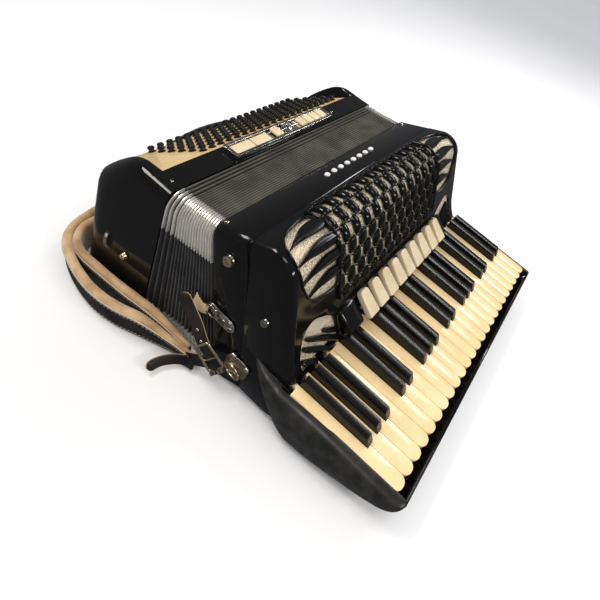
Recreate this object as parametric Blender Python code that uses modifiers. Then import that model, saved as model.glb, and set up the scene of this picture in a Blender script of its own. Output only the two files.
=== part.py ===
"""Piano accordion, lying on its back: 41 keys, 120 bass buttons, bellows just open at the back.

World frame: metres, +Z up, the grille side up, the keyboard at +X, the bass side at -X,
the low-note (chin) end at -Y.  The origin is at the bottom centre of the whole object.
The treble half leans by TREBLE_LEAN because its keyboard reaches below its back; everything
on it is built in the treble frame: x from the bellows face to the keys, z = 0 on the front.
"""
import math

import bmesh
import bpy
from mathutils import Matrix, Vector

# ---- driving dimensions, metres and degrees -------------------------------------------------
CASE_DEPTH = 0.184          # front to back of the treble casing
HALF_FRONT = 0.2145         # half length of the casings along Y, at the front
END_DRAFT = 0.14            # each end face moves out by this much for each metre of depth
TREBLE_LEAN = 14.0
BASS_LEAN = 6.4
TREBLE_X = -0.012           # world x of the treble's front edge at the bellows
BELLOWS_FRONT = 0.062       # width of the closed bellows at the front
GAP = 0.0003                # clearance between pieces that touch

CHAMBER_WIDTH = 0.048       # reed chamber, bellows face to soundboard
WALL = 0.004
COVER_WALL = 0.003
SHOULDER = 0.030            # radius of the grille's shoulder
COVER_SIDE_TOP = 0.100      # x of the grille's side wall under the shoulder
COVER_SIDE_FOOT = (0.1085, -0.137)

KEY_PITCH = 0.020
WHITE_COUNT = 24
KEY_SLOPE = 22.3
KEY_ROOT = (0.1165, -0.142)         # where the white keys come out of the grille
WHITE_LENGTH = 0.142
WHITE_THICK = 0.009
WHITE_WIDTH = 0.0194
BLACK_LENGTH = 0.092
BLACK_WIDTH = 0.0095
BLACK_RISE = 0.012
BLACK_CLEAR = 0.0006
TAIL_REACH = 0.052                  # hidden part of a key, under the grille
TAIL_WIDTH = 0.005
KEY_PIVOT = (0.062, -0.140)
AXLE_RADIUS = 0.0015
OCTAVE_BLACKS = (True, True, True, False, True, True, False)    # a black above F G A B C D E

SWITCH_COUNT = 9
SWITCH_PITCH = 0.0266
SWITCH_WIDTH = 0.0235
SWITCH_FIRST_Y = -0.095
SWITCH_ROD = (0.1185, -0.1150)

NEAR_CHEEK = 0.0175
FAR_CHEEK = 0.005
KEYBOARD_HALF = 0.2405
RAIL_INNER = 0.2545
RAIL_OUTER = 0.2580

BASS_FOOT_X = -0.222
BAND_WIDTH = 0.030                  # black front band between bellows and button board
BOARD_SLOPE = 25.0
BOARD_LENGTH = 0.1060
BOARD_THICK = 0.003
BOARD_Y = (-0.1900, 0.1935)
BUTTON_ROWS = 6
BUTTON_COLUMNS = 20
BUTTON_PITCH = 0.0152
ROW_PITCH = 0.0154
ROW_SHIFT = 0.0034
FIRST_BUTTON = (0.0213, -0.1138)    # on the board: down the slope, along Y
BUTTON_RADIUS = 0.0046
BUTTON_RISE = 0.0085

BELLOWS_FOLDS = 17
FOLD_DEPTH = 0.010
STRAP_HEIGHT = 0.040

# ---- derived frames --------------------------------------------------------------------------
LEAN = math.radians(TREBLE_LEAN)
FRONT_Z = CASE_DEPTH * math.cos(LEAN)
BASS_RAD = math.radians(BASS_LEAN)
BASS_X = TREBLE_X - BELLOWS_FRONT
FIRST_WHITE_Y = -KEY_PITCH * (WHITE_COUNT - 1) / 2
SLOPE = math.radians(KEY_SLOPE)
BOARD_RAD = math.radians(BOARD_SLOPE)
TREBLE_MATRIX = Matrix.Translation((TREBLE_X, 0, FRONT_Z)) @ Matrix.Rotation(-LEAN, 4, 'Y')

for old in list(bpy.data.objects):
    bpy.data.objects.remove(old)

PARTS = bpy.data.collections.new("piano_accordion")
CUTTERS = bpy.data.collections.new("cutters")
for group in (PARTS, CUTTERS):
    bpy.context.scene.collection.children.link(group)


# ---- helpers ---------------------------------------------------------------------------------
def material(name, colour, roughness, metallic=0.0):
    """A plain Principled material."""
    mat = bpy.data.materials.new(name)
    mat.use_nodes = True
    shader = mat.node_tree.nodes["Principled BSDF"]
    shader.inputs["Base Color"].default_value = (*colour, 1.0)
    shader.inputs["Roughness"].default_value = roughness
    shader.inputs["Metallic"].default_value = metallic
    return mat


PALETTE = {
    "celluloid": ((0.008, 0.008, 0.009), 0.12, 0.0),
    "grille": ((0.010, 0.010, 0.011), 0.15, 0.0),
    "cloth": ((0.42, 0.34, 0.24), 0.8, 0.0),
    "ivory": ((0.86, 0.72, 0.46), 0.25, 0.0),
    "ebony": ((0.012, 0.011, 0.012), 0.2, 0.0),
    "switch": ((0.80, 0.70, 0.52), 0.3, 0.0),
    "wood": ((0.45, 0.28, 0.14), 0.6, 0.0),
    "steel": ((0.55, 0.55, 0.56), 0.3, 1.0),
    "chrome": ((0.75, 0.75, 0.77), 0.12, 1.0),
    "bellows": ((0.03, 0.03, 0.035), 0.6, 0.0),
    "leather": ((0.02, 0.017, 0.015), 0.5, 0.0),
    "suede": ((0.62, 0.40, 0.18), 0.8, 0.0),
    "button": ((0.01, 0.01, 0.01), 0.15, 0.0),
}


def collect(obj, group):
    """Put an object in one collection only."""
    for home in list(obj.users_collection):
        home.objects.unlink(obj)
    group.objects.link(obj)
    return obj


def slab(outline, low, high, name="slab"):
    """A flat outline filled in local XY, from z = low to z = high, as a closed mesh object."""
    curve = bpy.data.curves.new(name, 'CURVE')
    curve.dimensions = '2D'
    curve.fill_mode = 'BOTH'
    curve.extrude = (high - low) / 2
    spline = curve.splines.new('POLY')
    spline.points.add(len(outline) - 1)
    for point, (a, b) in zip(spline.points, outline):
        point.co = (a, b, 0, 1)
    spline.use_cyclic_u = True
    source = collect(bpy.data.objects.new(name, curve), CUTTERS)
    bpy.context.view_layer.update()
    graph = bpy.context.evaluated_depsgraph_get()
    mesh = bpy.data.meshes.new_from_object(source.evaluated_get(graph))
    bpy.data.objects.remove(source)
    work = bmesh.new()
    work.from_mesh(mesh)
    bmesh.ops.remove_doubles(work, verts=work.verts, dist=1e-6)
    bmesh.ops.dissolve_limit(work, angle_limit=0.002, verts=work.verts, edges=work.edges)
    bmesh.ops.translate(work, verts=work.verts, vec=(0, 0, (low + high) / 2))
    bmesh.ops.recalc_face_normals(work, faces=work.faces)
    work.to_mesh(mesh)
    work.free()
    return collect(bpy.data.objects.new(name, mesh), CUTTERS)


def placed(obj, matrix):
    """Move the mesh itself, so the object stays at its origin."""
    obj.data.transform(matrix)
    if matrix.determinant() < 0:
        obj.data.flip_normals()
    return obj


XZ_TO_WORLD = Matrix(((1, 0, 0, 0), (0, 0, 1, 0), (0, 1, 0, 0), (0, 0, 0, 1)))


def profile(outline, y0, y1, name="profile"):
    """An outline of (x, z) points run along Y."""
    return placed(slab(outline, y0, y1, name), XZ_TO_WORLD)


def block(x0, x1, y0, y1, z0, z1, name="block"):
    """An axis-aligned box from a primitive cube."""
    bpy.ops.mesh.primitive_cube_add(size=1)
    obj = collect(bpy.context.object, CUTTERS)
    obj.name = name
    size = Matrix.Diagonal((x1 - x0, y1 - y0, z1 - z0, 1))
    return placed(obj, Matrix.Translation(((x0 + x1) / 2, (y0 + y1) / 2, (z0 + z1) / 2)) @ size)


def cylinder(radius, start, end, sides=16, name="cylinder"):
    """A closed cylinder between two points."""
    start, end = Vector(start), Vector(end)
    bpy.ops.mesh.primitive_cylinder_add(vertices=sides, radius=radius, depth=(end - start).length)
    obj = collect(bpy.context.object, CUTTERS)
    obj.name = name
    turn = (end - start).to_track_quat('Z', 'Y').to_matrix().to_4x4()
    return placed(obj, Matrix.Translation((start + end) / 2) @ turn)


def draft(obj, top):
    """Move the ends out with depth below z = top, as the casings' end faces do."""
    for vert in obj.data.vertices:
        vert.co.y *= 1 + END_DRAFT / HALF_FRONT * (top - vert.co.z)
    return obj


def bevelled(obj, width, segments=2, angle=35):
    """Round the sharp edges of a mesh for good."""
    mod = obj.modifiers.new("bevel", 'BEVEL')
    mod.width = width
    mod.segments = segments
    mod.limit_method = 'ANGLE'
    mod.angle_limit = math.radians(angle)
    return frozen(obj)


def frozen(obj):
    """Replace the mesh by its evaluated copy and clear the modifiers."""
    bpy.context.view_layer.update()
    graph = bpy.context.evaluated_depsgraph_get()
    mesh = bpy.data.meshes.new_from_object(obj.evaluated_get(graph))
    obj.modifiers.clear()
    obj.data = mesh
    return obj


def combine(base, others, operation):
    """Boolean the others into the base, one after another."""
    for other in others:
        mod = base.modifiers.new(operation.lower(), 'BOOLEAN')
        mod.operation = operation
        mod.object = other
        mod.solver = 'EXACT'
        frozen(base)
        bpy.data.objects.remove(other)
    return base


def joined(objects):
    """Several separate shapes as one mesh object, for one Boolean."""
    work = bmesh.new()
    for obj in objects:
        work.from_mesh(obj.data)
    mesh = bpy.data.meshes.new("joined")
    work.to_mesh(mesh)
    work.free()
    for obj in objects:
        bpy.data.objects.remove(obj)
    return collect(bpy.data.objects.new("joined", mesh), CUTTERS)


def part(obj, name, finish, parent=None, pivot=(0, 0, 0), smooth=0):
    """Name a finished solid, colour it, and put its origin on pivot in its parent's frame."""
    obj.data.transform(Matrix.Translation(-Vector(pivot)))
    obj.name = name
    obj.data.name = name
    obj.data.materials.clear()
    obj.data.materials.append(MATERIALS[finish])
    obj.parent = parent
    obj.location = pivot
    if smooth:
        obj.data.shade_smooth()
        obj.data.set_sharp_from_angle(angle=math.radians(smooth))
    return collect(obj, PARTS)


def arc(cx, cz, radius, start, end, steps):
    """Points on an arc, angles in degrees."""
    turns = [math.radians(start + (end - start) * i / steps) for i in range(steps + 1)]
    return [(cx + radius * math.cos(t), cz + radius * math.sin(t)) for t in turns]


MATERIALS = {name: material(name, *values) for name, values in PALETTE.items()}

TREBLE = bpy.data.objects.new("treble_frame", None)
TREBLE.matrix_world = TREBLE_MATRIX
PARTS.objects.link(TREBLE)


def half_length(depth):
    """Half the casings' length along Y at a depth below the front."""
    return HALF_FRONT + END_DRAFT * depth


def ground_z(x):
    """Treble-frame z of the ground under a treble-frame x."""
    return -(FRONT_Z + x * math.sin(LEAN)) / math.cos(LEAN)


# ---- treble casing ---------------------------------------------------------------------------
FLAT_FOOT = (0.108, 0.150)          # the keyboard's underside lies on the ground between these


def keybed_outline(inner_x, thickness):
    """The keyboard's underside and outer rail, as a bent strip of (x, z) points."""
    under = [(inner_x, -CASE_DEPTH + 0.001), (FLAT_FOOT[0], ground_z(FLAT_FOOT[0])),
             (FLAT_FOOT[1], ground_z(FLAT_FOOT[1])), (0.200, -0.2225), (0.246, -0.2185)]
    under += arc(RAIL_OUTER - 0.012, -0.2065, 0.012, -90, 0, 4)
    rail = [(RAIL_OUTER, -0.1995), (RAIL_INNER, -0.1995), (RAIL_INNER, -0.2110)]
    inside = [(0.200, -0.2225 + thickness), (FLAT_FOOT[1], ground_z(FLAT_FOOT[1]) + thickness),
              (FLAT_FOOT[0], ground_z(FLAT_FOOT[0]) + thickness), (inner_x, -CASE_DEPTH + thickness)]
    return under + rail + inside


def cheek_outline():
    """The end piece beside the outermost key."""
    top = [(0.0760, -0.1600), (0.0740, -0.1335), (0.0820, -0.1345), (KEY_ROOT[0], KEY_ROOT[1] + 0.001),
           (0.2500, -0.1965), (RAIL_OUTER - 0.0005, -0.2005)]
    under = [(RAIL_OUTER - 0.0005, -0.2080), (0.246, -0.2165), (0.200, -0.2215),
             (FLAT_FOOT[1], ground_z(FLAT_FOOT[1]) + 0.001), (FLAT_FOOT[0], ground_z(FLAT_FOOT[0]) + 0.001),
             (0.082, -0.1960)]
    return top + under


def treble_casing():
    """Reed chamber open to the bellows, with the keybed, its rail and the end cheeks."""
    outer = block(0, CHAMBER_WIDTH, -HALF_FRONT, HALF_FRONT, -CASE_DEPTH, 0)
    bevelled(outer, 0.004)
    hollow = block(-0.02, CHAMBER_WIDTH - WALL, -HALF_FRONT + 0.006, HALF_FRONT - 0.006,
                   -CASE_DEPTH + WALL, -WALL)
    combine(outer, [hollow], 'DIFFERENCE')
    draft(outer, 0)
    bed_in = profile(keybed_outline(0.040, 0.005)[:3] + [(FLAT_FOOT[0] + 0.01, -0.2065), (0.040, -0.1790)],
                     -0.2350, 0.2350)
    bed_out = profile(keybed_outline(0.082, 0.005), -KEYBOARD_HALF - 0.008, KEYBOARD_HALF + FAR_CHEEK - 0.001)
    near = profile(cheek_outline(), -KEYBOARD_HALF - NEAR_CHEEK, -KEYBOARD_HALF)
    bevelled(near, 0.0030, 2, 75)
    far = profile(cheek_outline(), KEYBOARD_HALF, KEYBOARD_HALF + FAR_CHEEK)
    ends = []
    for side in (-1, 1):
        low = 0.2330
        high = 0.2390
        foot = [(0.044, -0.1190), (0.1120, -0.1520), (0.1120, -0.1980), (0.044, -0.1820)]
        ends.append(profile(foot, min(side * low, side * high), max(side * low, side * high)))
    bridge = block(0.0825, 0.1115, -KEYBOARD_HALF - 0.003, -0.2345, -0.1960, -0.1530)
    bridge_far = block(0.0825, 0.1115, 0.2345, KEYBOARD_HALF + 0.002, -0.1960, -0.1530)
    combine(outer, [bed_in, bed_out, near, far] + ends + [bridge, bridge_far], 'UNION')
    return part(outer, "treble_casing", "celluloid", TREBLE)


def cover_line(offset, foot_z):
    """The grille's outer line from the seam over the shoulder to its foot, moved in by offset."""
    seam_x = CHAMBER_WIDTH + GAP
    centre = (COVER_SIDE_TOP - SHOULDER, -SHOULDER)
    line = [(seam_x, -offset)]
    line += arc(*centre, SHOULDER - offset, 90, 0, 6)
    run = COVER_SIDE_FOOT[1] - centre[1]
    slant = (COVER_SIDE_FOOT[0] - COVER_SIDE_TOP) / run
    line.append((COVER_SIDE_TOP + slant * (foot_z - centre[1]) - offset, foot_z))
    return line


def treble_grille():
    """The black cover over the pallets, with its sound openings and the switch end blocks."""
    outline = cover_line(0, COVER_SIDE_FOOT[1]) + cover_line(COVER_WALL, COVER_SIDE_FOOT[1])[::-1]
    shell = profile(outline, -HALF_FRONT, HALF_FRONT)
    caps = []
    for side in (-1, 1):
        cap = cover_line(0.0002, COVER_SIDE_FOOT[1]) + [(0.1085, -0.1450), (CHAMBER_WIDTH + GAP, -0.1160)]
        inner, outer = side * (HALF_FRONT - COVER_WALL), side * (HALF_FRONT - 0.0002)
        caps.append(profile(cap, min(inner, outer), max(inner, outer)))
    combine(shell, caps, 'UNION')
    windows = [block(0.062, 0.130, -0.205, -0.140, -0.045, 0.02),
               block(0.062, 0.130, 0.140, 0.205, -0.045, 0.02),
               block(0.080, 0.130, -0.205, -0.155, -0.125, -0.060),
               block(0.080, 0.130, 0.160, 0.205, -0.125, -0.060)]
    for index in range(13):
        y = -0.120 + 0.020 * index
        windows.append(block(0.060, 0.130, y - 0.0025, y + 0.0025, -0.085, 0.02))
    combine(shell, [joined(windows)], 'DIFFERENCE')
    blocks = []
    for y0, y1 in ((-0.146, SWITCH_FIRST_Y - SWITCH_PITCH / 2 - 0.001),
                   (SWITCH_FIRST_Y + SWITCH_PITCH * (SWITCH_COUNT - 0.5) + 0.001, 0.148)):
        foot = [(0.1035, -0.0900), (0.1150, -0.0930), (0.1350, -0.1240), (0.1290, -0.1290), (0.1050, -0.1290)]
        blocks.append(bevelled(profile(foot, y0, y1), 0.002, 1))
    combine(shell, blocks, 'UNION')
    draft(shell, 0)
    return part(shell, "treble_grille", "grille", TREBLE)


def grille_cloth():
    """Thin cloth lining behind the openings."""
    outline = cover_line(COVER_WALL + 0.0008, -0.120) + cover_line(COVER_WALL + 0.0018, -0.120)[::-1]
    lining = profile([(max(x, CHAMBER_WIDTH + 0.003), z) for x, z in outline], -0.2095, 0.2095)
    draft(lining, 0)
    return part(lining, "grille_cloth", "cloth", TREBLE)


# ---- keys ------------------------------------------------------------------------------------
KEY_MATRIX = Matrix.Translation((KEY_ROOT[0], 0, KEY_ROOT[1])) @ Matrix.Rotation(SLOPE, 4, 'Y')
ARM_THICK = 0.004
PALLET_WIDTH = 0.008
ARM_SQUEEZE = 0.92                  # the levers stand closer together than the keys


def clamp(value, low, high):
    """Keep a value between two limits."""
    return max(low, min(high, value))


def tail_points(centre, low, high):
    """The hidden, slanting tail of a key: its four (s, y) corners and its end's centre."""
    root = clamp(centre * 0.985, low + TAIL_WIDTH / 2 + 0.0003, high - TAIL_WIDTH / 2 - 0.0003)
    end = centre * ARM_SQUEEZE
    half = TAIL_WIDTH / 2
    return [(0, root + half), (-TAIL_REACH, end + half), (-TAIL_REACH, end - half),
            (0, root - half)], end


def key_lever(y, pallet_top):
    """The arm that hooks over the axle and carries the pallet, both as separate shapes."""
    px, pz = KEY_PIVOT
    notch = AXLE_RADIUS + 0.0004
    hook = [(0.0735, -0.1270), (0.0735, -0.1400), (0.0690, pz - 0.004), (px + notch, pz - 0.004),
            (px + notch, pz + notch), (px - notch, pz + notch), (px - notch, pz - 0.004),
            (px - 0.0055, pz - 0.004), (px - 0.0055, pallet_top), (px - 0.0015, pallet_top),
            (px - 0.0015, -0.1280), (0.0700, -0.1262)]
    arm = profile(hook, y - ARM_THICK / 2, y + ARM_THICK / 2)
    pallet = block(CHAMBER_WIDTH + 0.0008, px - 0.0050, y - PALLET_WIDTH / 2, y + PALLET_WIDTH / 2,
                   pallet_top - 0.034, pallet_top - 0.001)
    return [arm, pallet]


def white_key(index, black_below, black_above):
    """A white key, its rounded head, the cut-outs beside the black keys, and its lever."""
    y = FIRST_WHITE_Y + KEY_PITCH * index
    reach = BLACK_WIDTH / 2 + BLACK_CLEAR
    half = WHITE_WIDTH / 2
    low = y - KEY_PITCH / 2 + reach if black_below else y - half
    high = y + KEY_PITCH / 2 - reach if black_above else y + half
    tail, arm_y = tail_points(y, low, high)
    neck = BLACK_LENGTH + 0.0015
    radius = 0.0085
    nose = arc(WHITE_LENGTH - radius, y - half + radius, radius, -90, 0, 4)
    nose += arc(WHITE_LENGTH - radius, y + half - radius, radius, 0, 90, 4)
    outline = [(0, low), (neck, low)]
    if black_below:
        outline.append((neck, y - half))
    outline += nose
    if black_above:
        outline.append((neck, y + half))
    outline += [(neck, high), (0, high)] + tail
    plate = placed(slab(outline, -WHITE_THICK, 0), KEY_MATRIX)
    combine(plate, key_lever(arm_y, -0.030), 'UNION')
    return finish_key(plate, "key_white_%02d" % (index + 1), "ivory")


def black_key(index, after):
    """A black key after the given white one, with its sloping nose, and its lever."""
    y = FIRST_WHITE_Y + KEY_PITCH * (after + 0.5)
    half = BLACK_WIDTH / 2
    side = [(0.0007, -WHITE_THICK), (BLACK_LENGTH, -WHITE_THICK), (BLACK_LENGTH, 0.003),
            (BLACK_LENGTH - 0.006, BLACK_RISE - 0.001), (0.0007, BLACK_RISE)]
    body = placed(profile(side, y - half, y + half), KEY_MATRIX)
    tail, arm_y = tail_points(y, y - half, y + half)
    tail = [(0.006, tail[0][1])] + tail + [(0.006, tail[3][1])]
    stem = placed(slab(tail, -WHITE_THICK + 0.0002, -0.0002), KEY_MATRIX)
    combine(body, [stem] + key_lever(arm_y, -0.075), 'UNION')
    return finish_key(body, "key_black_%02d" % (index + 1), "ebony")


def finish_key(obj, name, finish):
    """Put a key's origin on the axle and hang it in the treble frame."""
    return part(obj, name, finish, TREBLE, (KEY_PIVOT[0], 0, KEY_PIVOT[1]))


def keyboard():
    """All 41 keys, F to A."""
    blacks = 0
    for index in range(WHITE_COUNT):
        above = OCTAVE_BLACKS[index % 7] and index < WHITE_COUNT - 1
        below = index > 0 and OCTAVE_BLACKS[(index - 1) % 7]
        white_key(index, below, above)
        if above:
            black_key(blacks, index)
            blacks += 1


def key_axle():
    """The steel rod all the keys turn on."""
    px, pz = KEY_PIVOT
    rod = cylinder(AXLE_RADIUS, (px, -0.2300, pz), (px, 0.2300, pz), 12)
    return part(rod, "key_axle", "steel", TREBLE)


def register_switches():
    """Nine cream rockers on one rod."""
    rx, rz = SWITCH_ROD
    face = [(0.1125, -0.0935), (0.1165, -0.0945), (0.1355, -0.1255), (0.1335, -0.1288),
            (0.1305, -0.1280), (0.1220, -0.1145)]
    rockers = []
    for index in range(SWITCH_COUNT):
        y = SWITCH_FIRST_Y + SWITCH_PITCH * index
        rocker = profile([(x + 0.0015, z) for x, z in face], y - SWITCH_WIDTH / 2, y + SWITCH_WIDTH / 2)
        rockers.append(bevelled(rocker, 0.0012, 1))
    last = SWITCH_FIRST_Y + SWITCH_PITCH * (SWITCH_COUNT - 1)
    rod = cylinder(0.0016, (rx + 0.0015, SWITCH_FIRST_Y - 0.0128, rz + 0.001),
                   (rx + 0.0015, last + 0.0128, rz + 0.001), 8)
    bar = profile([(rx + 0.0022, rz + 0.0120), (rx + 0.0040, rz + 0.0110), (rx + 0.0060, rz + 0.0010),
                   (rx + 0.0010, rz - 0.0005)], SWITCH_FIRST_Y - 0.002, last + 0.002)
    combine(rod, [bar, joined(rockers)], 'UNION')
    return part(rod, "register_switches", "switch", TREBLE, (rx + 0.0015, 0, rz + 0.001))


def comb(x0, x1, y0, y1, z0, z1, teeth):
    """A base board along Y with upright reed blocks across it."""
    pieces = [block(x0, x0 + 0.004, y0, y1, z0, z1)]
    step = (z1 - z0) / teeth
    for index in range(teeth):
        middle = z0 + step * (index + 0.5)
        pieces.append(block(x0 + 0.002, x1, y0 + 0.004, y1 - 0.004, middle - step * 0.28, middle + step * 0.28))
    return combine(pieces[0], pieces[1:], 'UNION')


def treble_reed_block():
    """Reed blocks standing on the soundboard inside the chamber."""
    reeds = comb(0.0090, 0.0400, -0.195, 0.195, -0.168, -0.020, 3)
    return part(placed(reeds, Matrix.Translation((0.0035, 0, 0))), "treble_reed_block", "wood", TREBLE)


# ---- bellows ---------------------------------------------------------------------------------
def bellows_ring(share, inset, length_inset):
    """Eight corners of the bellows section at a share of the way from treble to bass."""
    depth_low = CASE_DEPTH - 0.004 - inset
    depth_high = 0.001 + inset
    chamfer = 0.012
    ring = []
    for side in (-1, 1):
        for depth, end in ((depth_high, chamfer), (depth_high + chamfer, 0),
                           (depth_low - chamfer, 0), (depth_low, chamfer)):
            treble = Vector((TREBLE_X - GAP + depth * math.sin(LEAN), FRONT_Z - depth * math.cos(LEAN)))
            level = FRONT_Z - depth * math.cos(LEAN)
            bass = Vector((BASS_X + GAP - (FRONT_Z - level) * math.tan(BASS_RAD), level))
            place = treble.lerp(bass, share)
            y = half_length(depth) - 0.0015 - length_inset - end
            ring.append((place.x, side * y, place.y))
    return ring[:4] + ring[:3:-1]


def bellows():
    """A folded tube, open to both casings, wider at the back than at the front."""
    work = bmesh.new()
    rings = []
    steps = BELLOWS_FOLDS * 2
    for step in range(steps + 1):
        inset = FOLD_DEPTH if step % 2 == 0 else 0.0
        if step in (0, steps):
            inset = 0.003
        rings.append(bellows_ring(step / steps, inset, inset))
    rings.append(bellows_ring(1.0, 0.020, 0.020))
    rings.append(bellows_ring(0.0, 0.020, 0.020))
    loops = [[work.verts.new(point) for point in ring] for ring in rings]
    count = len(loops[0])
    for first, second in zip(loops, loops[1:] + loops[:1]):
        for index in range(count):
            after = (index + 1) % count
            work.faces.new((first[index], first[after], second[after], second[index]))
    bmesh.ops.recalc_face_normals(work, faces=work.faces)
    mesh = bpy.data.meshes.new("bellows")
    work.to_mesh(mesh)
    work.free()
    return part(bpy.data.objects.new("bellows", mesh), "bellows", "bellows")


# ---- bass side -------------------------------------------------------------------------------
def on_bass_front(left):
    """World (x, z) on the bass front plane, a distance left of the bellows edge."""
    return BASS_X - left * math.cos(BASS_RAD), FRONT_Z + left * math.sin(BASS_RAD)


def on_board(down, rise):
    """World (x, z) on the sloping board: distance down its slope, height above its top face."""
    x, z = on_bass_front(BAND_WIDTH)
    z -= 0.0030
    return (x - down * math.cos(BOARD_RAD) - rise * math.sin(BOARD_RAD),
            z - down * math.sin(BOARD_RAD) + rise * math.cos(BOARD_RAD))


BOARD_MATRIX = Matrix.Translation((on_board(0, 0)[0], 0, on_board(0, 0)[1])) @ Matrix(
    ((-math.cos(BOARD_RAD), 0, -math.sin(BOARD_RAD), 0), (0, 1, 0, 0),
     (-math.sin(BOARD_RAD), 0, math.cos(BOARD_RAD), 0), (0, 0, 0, 1)))


LOBE_LINE = ((-0.1038, 0.1819), (-0.1290, 0.1838), (-0.1450, 0.1795), (-0.1600, 0.1705),
             (-0.1760, 0.1590), (-0.1900, 0.1475), (-0.1985, 0.1385), (-0.2028, 0.1290))
CORNER_ROUND = 0.040                # plan radius between the bass side's ends and its outer wall
WALL_LEAN = 0.155


def bass_outline(offset):
    """The bass section's end profile moved in by offset; a hollow also runs out to the bellows."""
    back_x = BASS_X - FRONT_Z * math.tan(BASS_RAD)
    start, finish = [(BASS_X, FRONT_Z)], [(back_x, 0)]
    if offset:
        start = [(BASS_X + 0.03, FRONT_Z - offset)]
        finish = [(back_x + 0.03, offset)]
    middle = Vector((-0.135, 0.095))
    lobe = []
    for point in LOBE_LINE:
        here = Vector(point)
        lobe.append(tuple(here + (middle - here).normalized() * offset * 1.15))
    foot = [(BASS_FOOT_X + offset, 0.010), (BASS_FOOT_X + 0.008 + offset * 0.5, offset)]
    return start + lobe + foot + finish


def corner_column(offset):
    """A drafted column with the bass side's rounded plan, moved in by offset."""
    wall = BASS_FOOT_X - 0.0015 + offset
    end = half_length(FRONT_Z) + 0.0006 - offset
    radius = CORNER_ROUND - offset
    plan = [(0.05, -end)] + arc(wall + radius, -end + radius, radius, -90, -180, 6)
    plan += arc(wall + radius, end - radius, radius, 180, 90, 6) + [(0.05, end)]
    top = 0.21
    column = slab(plan, -0.01, top)
    for vert in column.data.vertices:
        vert.co.x += vert.co.z * WALL_LEAN
        vert.co.y -= math.copysign(vert.co.z * END_DRAFT, vert.co.y)
    return column


def bass_casing():
    """Bass shell: open to the bellows and under the button board, with two small slots."""
    outer = profile(bass_outline(0), -HALF_FRONT, HALF_FRONT)
    bevelled(outer, 0.004, 2, 60)
    draft(outer, FRONT_Z)
    combine(outer, [corner_column(0)], 'INTERSECT')
    hollow = profile(bass_outline(WALL), -HALF_FRONT + 0.006, HALF_FRONT - 0.006)
    draft(hollow, FRONT_Z)
    combine(hollow, [corner_column(0.0045)], 'INTERSECT')
    combine(outer, [hollow], 'DIFFERENCE')
    lift = BOARD_THICK + GAP
    wedge = [on_board(-GAP, -lift), on_board(BOARD_LENGTH + 0.02, -lift), on_board(BOARD_LENGTH + 0.02, 0.08),
             on_board(-GAP, 0.08)]
    board_hole = profile(wedge, BOARD_Y[0] - GAP, BOARD_Y[1] + GAP)
    wheel_slot = block(WHEEL[0] - 0.0032, WHEEL[0] + 0.0032, -0.25, -0.20, WHEEL[2] - 0.0165, WHEEL[2] + 0.0165)
    air_hole = cylinder(AIR_RADIUS + 0.0006, (AIR[0] - 0.03, AIR[1], AIR[2]), (AIR[0] + 0.02, AIR[1], AIR[2]), 16)
    combine(outer, [board_hole, wheel_slot, air_hole], 'DIFFERENCE')
    return part(outer, "bass_casing", "celluloid")


WHEEL = (-0.158, -0.2205, 0.067)
WHEEL_RADIUS = 0.0155
AIR = (-0.2040, -0.1750, 0.105)
AIR_RADIUS = 0.0075


def bass_button_board():
    """Cream board with one slot for each row of buttons."""
    y0, y1 = BOARD_Y
    board = placed(block(0, BOARD_LENGTH, y0, y1, -BOARD_THICK, 0), BOARD_MATRIX)
    slots = []
    for row in range(BUTTON_ROWS):
        down = FIRST_BUTTON[0] + ROW_PITCH * row
        start = FIRST_BUTTON[1] - ROW_SHIFT * row
        end = start + BUTTON_PITCH * (BUTTON_COLUMNS - 1)
        reach = BUTTON_RADIUS + 0.0006
        slots.append(placed(block(down - reach, down + reach, start - reach, end + reach, -0.01, 0.01),
                            BOARD_MATRIX))
    combine(board, [joined(slots)], 'DIFFERENCE')
    return part(board, "bass_button_board", "ivory")


def bass_buttons():
    """All 120 buttons on the plate that stands in for their separate levers."""
    base = -0.0135
    plate = placed(block(0.012, 0.1030, -0.160, 0.1850, base - 0.002, base), BOARD_MATRIX)
    posts = []
    for row in range(BUTTON_ROWS):
        for column in range(BUTTON_COLUMNS):
            down = FIRST_BUTTON[0] + ROW_PITCH * row
            y = FIRST_BUTTON[1] - ROW_SHIFT * row + BUTTON_PITCH * column
            bpy.ops.mesh.primitive_cylinder_add(vertices=7, radius=BUTTON_RADIUS, depth=1)
            post = collect(bpy.context.object, CUTTERS)
            low, high = base - 0.001, BUTTON_RISE
            size = Matrix.Diagonal((1, 1, high - low, 1))
            placed(post, BOARD_MATRIX @ Matrix.Translation((down, y, (low + high) / 2)) @ size)
            posts.append(post)
    combine(plate, [joined(posts)], 'UNION')
    return part(plate, "bass_buttons", "button")


REGISTER_Y = (-0.107, 0.100)
REGISTER_LEFT = (0.0030, 0.0275)
FRONT_MATRIX = Matrix.Translation((BASS_X, 0, FRONT_Z)) @ Matrix(
    ((-math.cos(BASS_RAD), 0, math.sin(BASS_RAD), 0), (0, 1, 0, 0),
     (math.sin(BASS_RAD), 0, math.cos(BASS_RAD), 0), (0, 0, 0, 1)))


def bass_register_frame():
    """Chrome tray on the front band that holds the bass switches."""
    left, right = REGISTER_LEFT
    y0, y1 = REGISTER_Y
    tray = block(left, right, y0, y1, 0.0004, 0.0055)
    bevelled(tray, 0.0010, 1)
    recess = block(left + 0.0035, right - 0.0035, y0 + 0.004, y1 - 0.004, 0.0016, 0.02)
    combine(tray, [recess], 'DIFFERENCE')
    placed(tray, FRONT_MATRIX)
    return part(tray, "bass_register_frame", "chrome")


BASS_SWITCH_Y = (-0.018, 0.036, 0.052, 0.068, 0.084)
BASS_SWITCH_ROD = (0.0153, 0.0040)


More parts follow.
